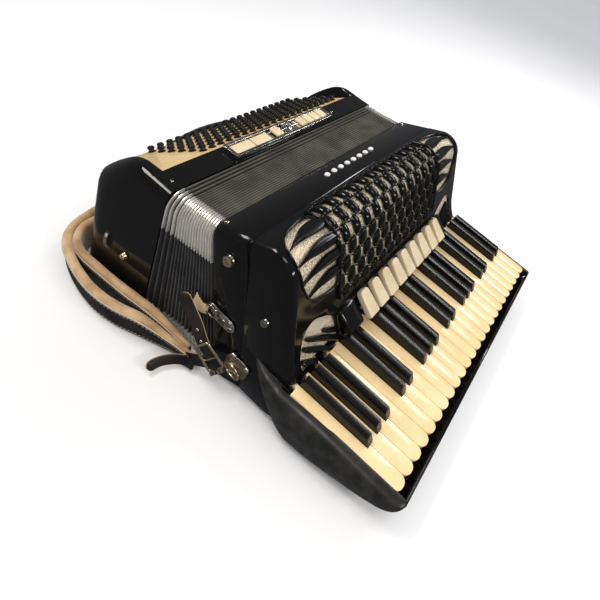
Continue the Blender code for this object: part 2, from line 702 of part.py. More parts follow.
def bass_switches():
    """Five cream rockers on one rod in the tray."""
    middle, height = BASS_SWITCH_ROD
    rod = cylinder(0.0009, (middle, -0.024, height), (middle, 0.0905, height), 8)
    pads = [block(middle - 0.0075, middle + 0.0075, y - 0.0070, y + 0.0070, 0.0033, 0.0066)
            for y in BASS_SWITCH_Y]
    combine(rod, [joined(pads)], 'UNION')
    placed(rod, FRONT_MATRIX)
    pivot = FRONT_MATRIX @ Vector((middle, 0, height))
    return part(rod, "bass_switches", "switch", None, pivot)


def bass_reed_block():
    """Reed blocks inside the bass shell."""
    reeds = comb(-0.150, -0.112, -0.190, 0.190, 0.014, 0.100, 2)
    return part(reeds, "bass_reed_block", "wood")


def ribbon_outline(path, thickness):
    """Both sides of a band that follows plan points, with a thickness for each point."""
    left, right = [], []
    for index, here in enumerate(path):
        before = Vector(path[max(index - 1, 0)])
        after = Vector(path[min(index + 1, len(path) - 1)])
        along = (after - before).normalized()
        side = Vector((-along.y, along.x)) * thickness[index] / 2
        left.append(tuple(Vector(here) + side))
        right.append(tuple(Vector(here) - side))
    return left + right[::-1]


HAND_STRAP_Z = (0.058, 0.118)
HAND_STRAP_HALF = 0.160


def bass_strap():
    """The player's hand strap, an arch of leather along the bass side's outer wall."""
    path = []
    for step in range(17):
        share = -1 + step / 8
        path.append((-0.2178 - 0.024 * math.cos(share * math.pi / 2) ** 2, HAND_STRAP_HALF * share))
    strap = slab(ribbon_outline(path, [0.005] * len(path)), *HAND_STRAP_Z)
    for vert in strap.data.vertices:
        vert.co.x += (vert.co.z - HAND_STRAP_Z[0]) * WALL_LEAN
    return part(strap, "bass_strap", "leather")


def strap_wheel():
    """Thumbwheel that tightens the hand strap, standing out of the near end's slot."""
    x, y, z = WHEEL
    wheel = cylinder(WHEEL_RADIUS, (x - 0.0025, y, z), (x + 0.0025, y, z), 28)
    return part(wheel, "bass_strap_wheel", "chrome", None, WHEEL)


def air_button():
    """Air valve button on the bass side's outer wall."""
    x, y, z = AIR
    button = cylinder(AIR_RADIUS, (x - 0.0160, y, z), (x + 0.010, y, z), 16)
    bevelled(button, 0.001, 1)
    return part(button, "air_button", "button", None, AIR)


# ---- shoulder straps -------------------------------------------------------------------------
STRAP_ENDS = (0.0060, 0.0120)       # thickness at a strap's ends and along its padded run
STRAP_TAPER = 0.070
OUTER_STRAP = ((0.0120, 0.2500), (-0.0120, 0.2525), (-0.0360, 0.2575), (-0.0655, 0.2645), (-0.0930, 0.2720),
               (-0.1250, 0.2750), (-0.1550, 0.2725), (-0.1850, 0.2655), (-0.2160, 0.2550), (-0.2400, 0.2325),
               (-0.2530, 0.1950), (-0.2650, 0.1400), (-0.2770, 0.0700), (-0.2825, 0.0))
INNER_STRAP = ((0.0, 0.2446), (-0.0200, 0.2447), (-0.0450, 0.2456), (-0.0750, 0.2475), (-0.1050, 0.2490),
               (-0.1350, 0.2492), (-0.1620, 0.2488), (-0.1850, 0.2476), (-0.2080, 0.2412), (-0.2252, 0.2239),
               (-0.2318, 0.2001), (-0.2332, 0.1500), (-0.2360, 0.0800), (-0.2390, 0.0))


def strap_path(half):
    """The whole plan loop from its near half, and the strap's thickness at each point."""
    path = [(x, -y) for x, y in half] + [(x, y) for x, y in half[-2::-1]]
    ends, middle = STRAP_ENDS
    thick = []
    for x, _ in path:
        thick.append(ends + (middle - ends) * clamp(-x / STRAP_TAPER, 0, 1))
    return path, thick


def shoulder_straps():
    """Two padded straps standing on edge on the ground, looped round the bass side."""
    for index, half in enumerate((OUTER_STRAP, INNER_STRAP)):
        strap = slab(ribbon_outline(*strap_path(half)), 0, STRAP_HEIGHT)
        part(strap, "shoulder_strap_%d" % (index + 1), "suede")


def strap_bracket():
    """Chin-end anchor plate with a loop for the shoulder strap."""
    plate = block(0.006, 0.036, -0.2360, -0.2340, -0.105, -0.090)
    bevelled(plate, 0.0008, 1)
    bpy.ops.mesh.primitive_torus_add(major_radius=0.008, minor_radius=0.0018, major_segments=16,
                                     minor_segments=6)
    loop = collect(bpy.context.object, CUTTERS)
    placed(loop, Matrix.Translation((0.000, -0.2350, -0.0975)) @ Matrix.Rotation(math.pi / 2, 4, 'X'))
    combine(plate, [loop], 'UNION')
    return part(plate, "strap_bracket", "chrome", TREBLE)


# ---- build -----------------------------------------------------------------------------------
treble_casing()
treble_grille()
grille_cloth()
keyboard()
key_axle()
register_switches()
treble_reed_block()
bellows()
bass_casing()
bass_button_board()
bass_buttons()
bass_register_frame()
bass_switches()
bass_reed_block()
bass_strap()
strap_wheel()
air_button()
shoulder_straps()
strap_bracket()
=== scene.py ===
"""The looks of the piano accordion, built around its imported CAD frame."""
import math

import bmesh
import bpy
from mathutils import Matrix, Vector, noise


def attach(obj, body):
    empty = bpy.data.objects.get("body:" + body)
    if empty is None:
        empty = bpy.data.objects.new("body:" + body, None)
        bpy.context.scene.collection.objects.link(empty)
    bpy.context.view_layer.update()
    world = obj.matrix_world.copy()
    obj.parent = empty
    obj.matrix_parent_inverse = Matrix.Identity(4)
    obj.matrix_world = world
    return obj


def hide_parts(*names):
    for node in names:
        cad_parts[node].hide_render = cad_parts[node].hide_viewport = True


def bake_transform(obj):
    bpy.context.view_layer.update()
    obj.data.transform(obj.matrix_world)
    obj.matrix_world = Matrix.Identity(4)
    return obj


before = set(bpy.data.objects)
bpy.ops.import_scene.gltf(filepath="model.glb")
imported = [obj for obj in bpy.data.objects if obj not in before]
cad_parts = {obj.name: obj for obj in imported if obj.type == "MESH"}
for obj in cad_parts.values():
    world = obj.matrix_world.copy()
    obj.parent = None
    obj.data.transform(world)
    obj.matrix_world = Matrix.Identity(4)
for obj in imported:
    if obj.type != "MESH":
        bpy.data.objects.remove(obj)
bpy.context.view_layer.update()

# ---- the frame's own sizes, metres and degrees ----------------------------------------------
CASE_DEPTH = 0.184                  # front to back of the treble casing
HALF_FRONT = 0.2145                 # half length of the casings along Y, at the front
END_DRAFT = 0.14                    # each end moves out by this much for each metre of depth
LEAN = math.radians(14.0)           # the treble half leans, because its keyboard reaches below its back
TREBLE_X = -0.012                   # world x of the treble's front edge at the bellows
FRONT_Z = CASE_DEPTH * math.cos(LEAN)
TREBLE = Matrix.Translation((TREBLE_X, 0, FRONT_Z)) @ Matrix.Rotation(-LEAN, 4, 'Y')
CHAMBER = 0.048                     # reed chamber, bellows face to soundboard
COVER_X = CHAMBER + 0.0003
SHOULDER = 0.030                    # radius of the grille's shoulder
COVER_SIDE = 0.100                  # x of the grille's side wall under the shoulder
COVER_FOOT = (0.1095, -0.1375)      # x and z where that wall ends in the CAD
KEYBOARD_HALF = 0.2405
BASS_RAD = math.radians(6.4)        # lean of the bass side
BASS_X = TREBLE_X - 0.062
BASS_FOOT_X = -0.222
BAND = 0.030                        # black front band between the bellows and the button board
BOARD_RAD = math.radians(25.0)
BOARD_LENGTH = 0.1060
BOARD_Y = (-0.1900, 0.1935)
ROWS = 6
COLUMNS = 20
BUTTON_PITCH = 0.0152
ROW_PITCH = 0.0154
ROW_SHIFT = 0.0034                  # each row starts this much nearer to the chin
FIRST_BUTTON = (0.0213, -0.1138)    # on the board: down the slope, along Y


# ---- materials -------------------------------------------------------------------------------
class Shader:
    """A Principled material and the few node groups its detail comes from."""

    def __init__(self, name, colour, roughness, metallic=0.0, coat=0.0, sheen=0.0):
        self.material = bpy.data.materials.new(name)
        self.material.use_nodes = True
        self.tree = self.material.node_tree
        self.bsdf = self.tree.nodes["Principled BSDF"]
        self.bsdf.inputs["Base Color"].default_value = (*colour, 1)
        self.bsdf.inputs["Roughness"].default_value = roughness
        self.bsdf.inputs["Metallic"].default_value = metallic
        self.bsdf.inputs["Coat Weight"].default_value = coat
        self.bsdf.inputs["Coat Roughness"].default_value = 0.04
        self.bsdf.inputs["Sheen Weight"].default_value = sheen
        self.place = self.tree.nodes.new("ShaderNodeTexCoord").outputs["Object"]
        self.height = None

    def node(self, kind, **settings):
        made = self.tree.nodes.new(kind)
        for key, value in settings.items():
            setattr(made, key, value)
        return made

    def link(self, source, target):
        self.tree.links.new(source, target)

    def stretched(self, scale):
        """Object coordinates stretched by a scale for each axis."""
        mapping = self.node("ShaderNodeMapping")
        mapping.inputs["Scale"].default_value = scale
        self.link(self.place, mapping.inputs["Vector"])
        return mapping.outputs["Vector"]

    def noise(self, scale, detail=4.0, stretch=(1, 1, 1)):
        """Noise from 0 to 1 at a number of blobs for each metre."""
        made = self.node("ShaderNodeTexNoise")
        made.inputs["Scale"].default_value = scale
        made.inputs["Detail"].default_value = detail
        self.link(self.stretched(stretch), made.inputs["Vector"])
        return made.outputs["Fac"]

    def ramp(self, fac, low, high, start=0.35, end=0.65):
        """Two colours spread over part of a factor's range."""
        made = self.node("ShaderNodeValToRGB")
        stops = made.color_ramp.elements
        stops[0].position, stops[1].position = start, end
        stops[0].color, stops[1].color = (*low, 1), (*high, 1)
        self.link(fac, made.inputs["Fac"])
        return made.outputs["Color"]

    def cells(self, scale, output):
        """One output of a cell pattern at a number of cells for each metre."""
        made = self.node("ShaderNodeTexVoronoi")
        made.inputs["Scale"].default_value = scale
        self.link(self.place, made.inputs["Vector"])
        return made.outputs[output]

    def maths(self, operation, first, second):
        """Two factors joined by an operation."""
        made = self.node("ShaderNodeMath", operation=operation)
        self.link(first, made.inputs[0])
        self.link(second, made.inputs[1])
        return made.outputs[0]

    def scatter(self, weight, radius):
        """Let a little light through the surface."""
        self.bsdf.inputs["Subsurface Weight"].default_value = weight
        self.bsdf.inputs["Subsurface Radius"].default_value = radius

    def colour(self, fac, low, high, start=0.35, end=0.65):
        """Colour the surface by a factor."""
        self.link(self.ramp(fac, low, high, start, end), self.bsdf.inputs["Base Color"])
        return self

    def spread(self, fac, socket, low, high):
        """Drive a shader socket from low to high by a factor."""
        made = self.node("ShaderNodeMapRange")
        made.inputs["From Min"].default_value = 0.3
        made.inputs["From Max"].default_value = 0.7
        made.inputs["To Min"].default_value = low
        made.inputs["To Max"].default_value = high
        self.link(fac, made.inputs["Value"])
        self.link(made.outputs["Result"], self.bsdf.inputs[socket])
        return self

    def bump(self, fac, distance, strength=0.5):
        """Add a bump of a height in metres, stacked on any earlier one."""
        made = self.node("ShaderNodeBump")
        made.inputs["Distance"].default_value = distance
        made.inputs["Strength"].default_value = strength
        self.link(fac, made.inputs["Height"])
        if self.height:
            self.link(self.height, made.inputs["Normal"])
        self.height = made.outputs["Normal"]
        self.link(self.height, self.bsdf.inputs["Normal"])
        return self


def dark(colour, share):
    """A colour at a share of its brightness."""
    return tuple(value * share for value in colour)


def black_gloss(name, colour=(0.0045, 0.0045, 0.005), rough=(0.05, 0.16), dust=0.02, waves=1.0,
                level=0.34):
    """Polished black celluloid: soft smudges, hairline scratches and a little dust."""
    made = Shader(name, colour, rough[0])
    made.bsdf.inputs["Specular IOR Level"].default_value = level
    made.colour(made.noise(900, 2), colour, tuple(c + dust for c in colour), 0.66, 0.80)
    made.spread(made.noise(14, 6), "Roughness", *rough)
    made.bump(made.noise(45, 2), 0.0006, 0.10 * waves)
    made.bump(made.noise(500, 3, (1, 0.04, 1)), 0.0001, 0.08 * waves)
    return made.material


def rubbed_gloss_and_painted_sheen(name):
    """Black celluloid rubbed grey in patches where hands and floors have touched it, the grey also a
    painted sheen in place of a broad highlight.
    """
    black, rubbed = (0.010, 0.0095, 0.009), (0.034, 0.032, 0.028)
    made = Shader(name, black, 0.30)
    made.bsdf.inputs["Specular IOR Level"].default_value = 0.60
    # painted sheen: the lighter grey patches stand partly for rubbed wear and partly for a broad highlight
    # on the cheek
    made.colour(made.noise(70, 6), black, rubbed, 0.40, 0.80)
    made.spread(made.noise(30, 5), "Roughness", 0.24, 0.44)
    made.bump(made.noise(160, 4), 0.0002, 0.10)
    return made.material


def cream(name, colour, worn, rough=(0.18, 0.34)):
    """Aged cream plastic: yellowed clouds, fine moulded streaks and faint grime."""
    made = Shader(name, colour, rough[0], coat=0.25)
    clouds = made.ramp(made.noise(22, 5), worn, colour, 0.36, 0.58)
    specks = made.ramp(made.noise(420, 3, (0.15, 1, 1)), (0.90, 0.87, 0.80), (1, 1, 1), 0.28, 0.44)
    mix = made.node("ShaderNodeMix", data_type='RGBA', blend_type='MULTIPLY')
    mix.inputs["Factor"].default_value = 0.6
    made.link(clouds, mix.inputs["A"])
    made.link(specks, mix.inputs["B"])
    made.link(mix.outputs["Result"], made.bsdf.inputs["Base Color"])
    made.spread(made.noise(35, 5), "Roughness", *rough)
    made.bump(made.noise(260, 3, (0.1, 1, 1)), 0.0001, 0.15)
    made.scatter(0.06, (0.004, 0.003, 0.002))
    return made.material


def plated(name, colour, rough, tarnish, metallic=1.0):
    """Worn plating: cloudy tarnish, brushed lines and pits."""
    made = Shader(name, colour, rough[0], metallic=metallic)
    made.colour(made.noise(110, 5), dark(colour, tarnish), colour, 0.34, 0.56)
    made.spread(made.noise(60, 4), "Roughness", *rough)
    made.bump(made.noise(300, 2), 0.0001, 0.10)
    return made.material


def woven(name, colour, light, pitch, glitter=0.0):
    """Plain weave with thread crossings, and metal flecks where asked."""
    rough = 0.75
    made = Shader(name, colour, rough, sheen=0.2)
    waves = []
    for direction in ('Y', 'DIAGONAL'):
        wave = made.node("ShaderNodeTexWave", bands_direction=direction)
        wave.inputs["Scale"].default_value = 0.31 / pitch
        wave.inputs["Distortion"].default_value = 0.6
        made.link(made.place, wave.inputs["Vector"])
        waves.append(wave.outputs["Fac"])
    cross = made.maths('MULTIPLY', *waves)
    grain = made.maths('ADD', cross, made.noise(1200, 3))
    made.colour(grain, colour, light, 0.45, 1.0)
    made.bump(cross, pitch * 0.4, 0.5)
    if glitter:
        split = made.node("ShaderNodeSeparateColor")
        made.link(made.cells(1400, "Color"), split.inputs["Color"])
        fleck = made.node("ShaderNodeMath", operation='GREATER_THAN')
        fleck.inputs[1].default_value = 1 - glitter
        made.link(split.outputs["Red"], fleck.inputs[0])
        made.link(fleck.outputs[0], made.bsdf.inputs["Metallic"])
        made.spread(fleck.outputs[0], "Roughness", rough, 0.25)
    return made.material


def hide(name, colour, light, scale, rough, nap=0.0, swell=0.0008):
    """Leather or suede: pebbled grain, rubbed lighter in patches."""
    made = Shader(name, colour, rough[0], sheen=nap)
    made.colour(made.noise(38, 7), colour, light, 0.38, 0.66)
    made.spread(made.noise(60, 5), "Roughness", *rough)
    made.bump(made.cells(scale, "Distance"), 0.0003, 0.35)
    made.bump(made.noise(120, 4), swell, 0.25)
    return made.material


def timber(name, colour, light):
    """Planed softwood with grain along Y."""
    made = Shader(name, colour, 0.55)
    made.colour(made.noise(160, 6, (1, 0.05, 1)), colour, light, 0.35, 0.65)
    made.bump(made.noise(400, 4, (1, 0.04, 1)), 0.0002, 0.4)
    return made.material


def stone(name):
    """Cloudy white cut glass, its white diffuse colour a painted glint in place of the sparkle the stones
    reflect.
    """
    # painted glint: the stones are white and not metallic so that they read bright without reflections
    made = Shader(name, (0.93, 0.92, 0.89), 0.08, coat=0.6)
    made.colour(made.noise(500, 3), (0.80, 0.79, 0.76), (0.96, 0.95, 0.92))
    made.scatter(0.15, (0.002, 0.002, 0.002))
    return made.material


CREAM_KEY = (0.90, 0.70, 0.40)
MAT = {
    "celluloid": black_gloss("celluloid"),
    "grille": black_gloss("grille_gloss", rough=(0.07, 0.2)),
    # worn: rubbed wear together with a painted sheen, used on the horns and cheeks
    "worn": rubbed_gloss_and_painted_sheen("rubbed_gloss_and_painted_sheen"),
    "edge": black_gloss("worn_edge", (0.075, 0.055, 0.032), (0.25, 0.40), 0.04),
    "ebony": black_gloss("ebony_key", (0.0055, 0.005, 0.005), (0.20, 0.30), 0.004, 0.2, 0.30),
    "button": black_gloss("button_gloss", (0.006, 0.006, 0.006), (0.10, 0.22)),
    "ivory": cream("ivory_key", CREAM_KEY, (0.84, 0.61, 0.31)),
    "board": cream("board_cream", (0.86, 0.64, 0.33), (0.80, 0.55, 0.25)),
    "switch": cream("switch_cream", (0.74, 0.63, 0.42), (0.66, 0.52, 0.31)),
    "chrome": plated("worn_chrome", (0.66, 0.64, 0.59), (0.10, 0.30), 0.42),
    "brass": plated("aged_brass", (0.82, 0.73, 0.54), (0.14, 0.30), 0.78),
    "old_brass": plated("old_brass", (0.46, 0.39, 0.28), (0.22, 0.40), 0.45),
    # the guards are only part metallic, so their pale colour shows as diffuse white: a painted reflection
    # over the plating's own colour
    "guard": plated("corner_guard_painted_reflection", (0.90, 0.88, 0.83), (0.16, 0.28), 0.86, 0.72),
    "steel": plated("steel_rod", (0.55, 0.55, 0.56), (0.2, 0.35), 0.8),
    "cloth": woven("grille_cloth", (0.42, 0.33, 0.21), (0.92, 0.82, 0.62), 0.0011, 0.30),
    "panel": woven("bellows_cloth", (0.002, 0.002, 0.002), (0.010, 0.009, 0.009), 0.0008),
    # painted light: the ridge tape has a lighter copy for the top and front, a painted highlight, and a
    # darker copy for the bellows' ends, painted shade
    "tape": hide("lit_copy_bellows_tape", (0.085, 0.078, 0.066), (0.150, 0.138, 0.115), 900, (0.26, 0.40), 0,
                 0.0001),
    "shaded_copy_end_tape": hide("shaded_copy_end_tape", (0.030, 0.031, 0.032), (0.060, 0.060, 0.062), 900, (0.16, 0.28), 0,
                     0.0001),
    "leather": hide("black_leather", (0.004, 0.0034, 0.003), (0.020, 0.014, 0.010), 900,
                    (0.30, 0.55)),
    "suede": hide("tan_suede", (0.36, 0.205, 0.085), (0.62, 0.42, 0.215), 1400, (0.7, 0.95), 0.4),
    "thread": woven("waxed_thread", (0.42, 0.33, 0.22), (0.66, 0.56, 0.42), 0.0006),
    "wood": timber("reed_wood", (0.35, 0.20, 0.09), (0.55, 0.35, 0.18)),
    "gem": stone("cut_stone_painted_glint"),
    "recess": black_gloss("recess", (0.003, 0.003, 0.003), (0.3, 0.5)),
}


# ---- mesh helpers ----------------------------------------------------------------------------
def placed(name, data):
    """A new object in the scene."""
    obj = bpy.data.objects.new(name, data)
    bpy.context.scene.collection.objects.link(obj)
    return obj


def made_object(name, mesh, *finishes):
    """A new object in the scene with its materials."""
    obj = placed(name, mesh)
    for finish in finishes:
        mesh.materials.append(MAT[finish])
    return obj


def from_bmesh(work, name, *finishes, smooth=40):
    """Close a bmesh into an object, smooth up to an angle."""
    bmesh.ops.recalc_face_normals(work, faces=work.faces)
    mesh = bpy.data.meshes.new(name)
    work.to_mesh(mesh)
    work.free()
    obj = made_object(name, mesh, *finishes)
    return smoothed(obj, smooth)


def smoothed(obj, angle=40):
    """Smooth shading with sharp edges past an angle."""
    obj.data.shade_smooth()
    obj.data.set_sharp_from_angle(angle=math.radians(angle))
    return obj


def applied(obj):
    """Bake an object's modifiers into its mesh."""
    bpy.context.view_layer.update()
    graph = bpy.context.evaluated_depsgraph_get()
    mesh = bpy.data.meshes.new_from_object(obj.evaluated_get(graph))
    obj.modifiers.clear()
    obj.data = mesh
    return obj


def bevelled(obj, width, segments, angle):
    """Round the sharp edges."""
    mod = obj.modifiers.new("bevel", 'BEVEL')
    mod.width = width
    mod.segments = segments
    mod.limit_method = 'ANGLE'
    mod.angle_limit = math.radians(angle)
    return smoothed(applied(obj))


def thickened(obj, thickness, offset=-1):
    """Give a skin a thickness, inwards for an offset of -1 and outwards for 1."""
    mod = obj.modifiers.new("wall", 'SOLIDIFY')
    mod.thickness = thickness
    mod.offset = offset
    return applied(obj)


def cut(obj, cutter):
    """Cut away another object, which is then removed."""
    mod = obj.modifiers.new("cut", 'BOOLEAN')
    mod.operation = 'DIFFERENCE'
    mod.solver = 'EXACT'
    mod.object = cutter
    applied(obj)
    bpy.data.objects.remove(cutter)
    return obj


def merged(objects, name):
    """Several objects as one, keeping their materials."""
    finishes = []
    work = bmesh.new()
    for obj in objects:
        slots = []
        for finish in obj.data.materials:
            if finish not in finishes:
                finishes.append(finish)
            slots.append(finishes.index(finish))
        first = len(work.faces)
        work.from_mesh(obj.data)
        work.faces.index_update()
        for face in work.faces[first:]:
            face.material_index = slots[face.material_index] if slots else 0
    mesh = bpy.data.meshes.new(name)
    work.to_mesh(mesh)
    work.free()
    for obj in objects:
        bpy.data.objects.remove(obj)
    made = made_object(name, mesh)
    for finish in finishes:
        mesh.materials.append(finish)
    return made


def ride(obj, body, slot, *nodes):
    """Hand a finished piece to a body, and hide the CAD nodes that it stands for. The slot is not used."""
    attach(obj, body)
    if nodes:
        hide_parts(*nodes)
    return obj


def arc(cx, cz, radius, start, end, steps):
    """Points on an arc, angles in degrees."""
    turns = [math.radians(start + (end - start) * i / steps) for i in range(steps + 1)]
    return [(cx + radius * math.cos(t), cz + radius * math.sin(t)) for t in turns]


def flat_fill(outlines):
    """A bmesh of flat faces between an outer outline and its holes, in XY."""
    curve = bpy.data.curves.new("fill", 'CURVE')
    curve.dimensions = '2D'
    curve.fill_mode = 'BOTH'
    for outline in outlines:
        spline = curve.splines.new('POLY')
        spline.points.add(len(outline) - 1)
        for point, (a, b) in zip(spline.points, outline):
            point.co = (a, b, 0, 1)
        spline.use_cyclic_u = True
    source = placed("fill", curve)
    bpy.context.view_layer.update()
    graph = bpy.context.evaluated_depsgraph_get()
    mesh = bpy.data.meshes.new_from_object(source.evaluated_get(graph))
    bpy.data.objects.remove(source)
    work = bmesh.new()
    work.from_mesh(mesh)
    bmesh.ops.remove_doubles(work, verts=work.verts, dist=1e-6)
    return work


def slab(outline, low, high, finish, axes="XY", holes=()):
    """An outline in plane XY or XZ, run from low to high along the axis that the plane leaves out."""
    work = flat_fill([outline, *holes])
    bmesh.ops.dissolve_limit(work, angle_limit=0.002, verts=work.verts, edges=work.edges)
    for vert in work.verts:
        vert.co.z = low
    made = bmesh.ops.extrude_face_region(work, geom=work.faces[:])
    for vert in [item for item in made["geom"] if isinstance(item, bmesh.types.BMVert)]:
        vert.co.z = high
    if axes == "XZ":
        for vert in work.verts:
            vert.co = vert.co.xzy
    return from_bmesh(work, "slab", finish)


def loft(sections, closed_ring=True, closed_path=False):
    """A bmesh skin over sections with equal numbers of points, capped where it would be open."""
    work = bmesh.new()
    rings = [[work.verts.new(point) for point in section] for section in sections]
    count = len(rings[0])
    pairs = list(zip(rings, rings[1:]))
    if closed_path:
        pairs.append((rings[-1], rings[0]))
    for first, second in pairs:
        for i in range(count if closed_ring else count - 1):
            j = (i + 1) % count
            work.faces.new((first[i], first[j], second[j], second[i]))
    if closed_ring and not closed_path:
        work.faces.new(rings[0][::-1])
        work.faces.new(rings[-1])
    return work


def turned(profile, steps, finish):
    """A profile of (radius, height) points turned about Z."""
    sections = [[(r * math.cos(a), r * math.sin(a), h) for r, h in profile] for a in full_turn(steps)]
    work = loft(sections, closed_ring=False, closed_path=True)
    bmesh.ops.remove_doubles(work, verts=work.verts, dist=1e-6)
    return from_bmesh(work, "turned", finish, smooth=50)


def tube(points, radius, finish, sides=8, closed=False):
    """A round wire along points."""
    points = [Vector(p) for p in points]
    sections = []
    side = Vector((0, 0, 1))
    for i, here in enumerate(points):
        before = points[i - 1] if i or closed else here
        after = points[(i + 1) % len(points)] if i < len(points) - 1 or closed else here
        along = (after - before).normalized()
        across = along.cross(side)
        if across.length < 0.1:
            across = along.cross(Vector((1, 0, 0)))
        across.normalize()
        side = across.cross(along).normalized()
        sections.append([here + radius * (math.cos(a) * across + math.sin(a) * side)
                         for a in full_turn(sides)])
    return from_bmesh(loft(sections, closed_path=closed), "tube", finish, smooth=60)


def box_outline(x0, y0, x1, y1):
    """A rectangle's four corners."""
    return [(x0, y0), (x1, y0), (x1, y1), (x0, y1)]


def full_turn(steps):
    """Evenly spaced angles round a circle."""
    return [2 * math.pi * i / steps for i in range(steps)]


def facing(origin, normal, up=(0, 0, 1)):
    """A matrix whose Z points along normal at origin."""
    z = Vector(normal).normalized()
    x = Vector(up).cross(z).normalized()
    y = z.cross(x)
    rotation = Matrix((x, y, z)).transposed().to_4x4()
    return Matrix.Translation(Vector(origin)) @ rotation


def moved(obj, matrix):
    """Transform the mesh itself."""
    obj.data.transform(matrix)
    if matrix.determinant() < 0:
        obj.data.flip_normals()
    return obj


def half_length(depth):
    """Half the casings' length at a depth below the front."""
    return HALF_FRONT + END_DRAFT * depth


def catmull(control, share):
    """One point of a smooth curve through vectors of any length."""
    spans = len(control) - 1
    t = share * spans
    k = min(int(t), spans - 1)
    u = t - k
    a, b, c, d = (control[max(0, min(spans, k + o))] for o in (-1, 0, 1, 2))
    return 0.5 * ((2 * b) + (c - a) * u + (2 * a - 5 * b + 4 * c - d) * u ** 2
                  + (3 * b - a - 3 * c + d) * u ** 3)


def spline_points(control, count):
    """Evenly counted points on a smooth curve through given ones."""
    control = [Vector(p) for p in control]
    return [catmull(control, i / (count - 1)) for i in range(count)]


def smoothstep(value, low, high):
    """0 below low, 1 above high, smooth between."""
    t = max(0.0, min(1.0, (value - low) / (high - low)))
    return t * t * (3 - 2 * t)


# ---- treble casing ---------------------------------------------------------------------------
def ground_z(x):
    """Treble-frame height of the ground."""
    return -(FRONT_Z + x * math.sin(LEAN)) / math.cos(LEAN)


def casing_section(inset, radius, x):
    """The casing's outline across its length, rounded at the front, at one x."""
    half_back = half_length(CASE_DEPTH) - inset
    half = HALF_FRONT - inset
    right = arc(half - radius, -inset - radius, radius, 0, 90, 6)
    left = arc(-half + radius, -inset - radius, radius, 90, 180, 6)
    points = [(half_back, -CASE_DEPTH + inset)] + right + left + [(-half_back, -CASE_DEPTH + inset)]
    return [(x, y, z) for y, z in points]


def treble_chamber():
    """Reed chamber: softly rounded black box, open to the bellows."""
    edge = 0.0022
    stations = [(0.0, edge), (edge * 0.3, edge * 0.3), (edge, 0.0), (CHAMBER - edge, 0.0),
                (CHAMBER - edge * 0.3, edge * 0.3), (CHAMBER, edge)]
    skin = [casing_section(inset, 0.011, x) for x, inset in stations]
    outer = from_bmesh(loft(skin), "chamber", "celluloid")
    hollow = [casing_section(0.005, 0.008, x) for x in (-0.02, CHAMBER - 0.004)]
    cut(outer, from_bmesh(loft(hollow), "room", "recess"))
    return smoothed(outer, 50)


FLAT_FOOT = (0.108, 0.150)          # the keyboard's underside lies on the ground between these


def bed_line(lift):
    """The keyboard's underside from the casing to the rail, lifted off its outer face."""
    low, high = FLAT_FOOT
    line = [(0.0420, -CASE_DEPTH + 0.001 + lift), (low, ground_z(low) + lift),
            (high, ground_z(high) + lift)]
    line += [(0.176, -0.2233 + lift), (0.200, -0.2225 + lift), (0.226, -0.2203 + lift)]
    return line


def keybed():
    """Curved underside of the keyboard with the outer rail that the key tips stop at."""
    outer = bed_line(0) + arc(0.246, -0.2065, 0.012, -85, 0, 6)
    outline = outer + [(0.2580, -0.1995), (0.2562, -0.1985), (0.2545, -0.1998), (0.2545, -0.2110)]
    outline += [(0.2400, -0.2140)] + bed_line(0.005)[::-1]
    bed = slab(outline, -KEYBOARD_HALF + 0.0002, KEYBOARD_HALF - 0.0002, "celluloid", "XZ")
    return bevelled(bed, 0.0007, 1, 60)


# Treble-frame stations of the horn: x, top, bottom, and how far out it stands, 0 to 1.
HORN = (
    (0.0660, -0.1262, -0.1330, 0.02), (0.0700, -0.1275, -0.1440, 0.16),
    (0.0760, -0.1300, -0.1560, 0.34), (0.0850, -0.1362, -0.1700, 0.55),
    (0.0960, -0.1405, -0.1860, 0.74), (0.1080, -0.1440, -0.2030, 0.88),
    (0.1200, -0.1466, -0.2140, 0.96), (0.1400, -0.1528, -0.2185, 1.00),
    (0.1700, -0.1635, -0.2215, 1.00), (0.2000, -0.1757, -0.2215, 1.00),
    (0.2200, -0.1840, -0.2205, 0.98), (0.2350, -0.1902, -0.2185, 0.93),
    (0.2450, -0.1943, -0.2150, 0.82), (0.2520, -0.1972, -0.2105, 0.62),
    (0.2560, -0.1992, -0.2055, 0.36), (0.2575, -0.2010, -0.2035, 0.10))
HORN_STEPS = 60
HORN_SQUARENESS = (0.74, 0.82)      # 1 would be a half ellipse; less is fuller at the corners


def horn(side, reach):
    """The casing's end, which swells out of its side and runs on as the keyboard's rounded cheek."""
    sections = []
    control = [Vector(station) for station in HORN]
    for index in range(HORN_STEPS + 1):
        x, top, bottom, share = catmull(control, index / HORN_STEPS)
        inner = max(half_length(0.13 + max(0.0, x - 0.0664) * 0.4) - 0.001, 0.0)
        inner = min(KEYBOARD_HALF, inner + smoothstep(x, 0.095, 0.118) * 0.02)
        outer = inner + 0.0012 + (KEYBOARD_HALF + reach - inner - 0.0012) * share
        bottom = max(bottom, ground_z(x) + 0.0003)
        middle, half = (top + bottom) / 2, (top - bottom) / 2
        ring = [(x, side * (inner - 0.002), top - 0.0004), (x, side * (inner - 0.002), bottom + 0.0004)]
        for step in range(15):
            turn = math.radians(-90 + 180 * step / 14)
            across, up = (math.copysign(abs(part) ** power, part)
                          for part, power in zip((math.cos(turn), math.sin(turn)), HORN_SQUARENESS))
            ring.append((x, side * (inner + (outer - inner) * across), middle + half * up))
        sections.append(ring)
    return from_bmesh(loft(sections), "horn", "worn", smooth=50)


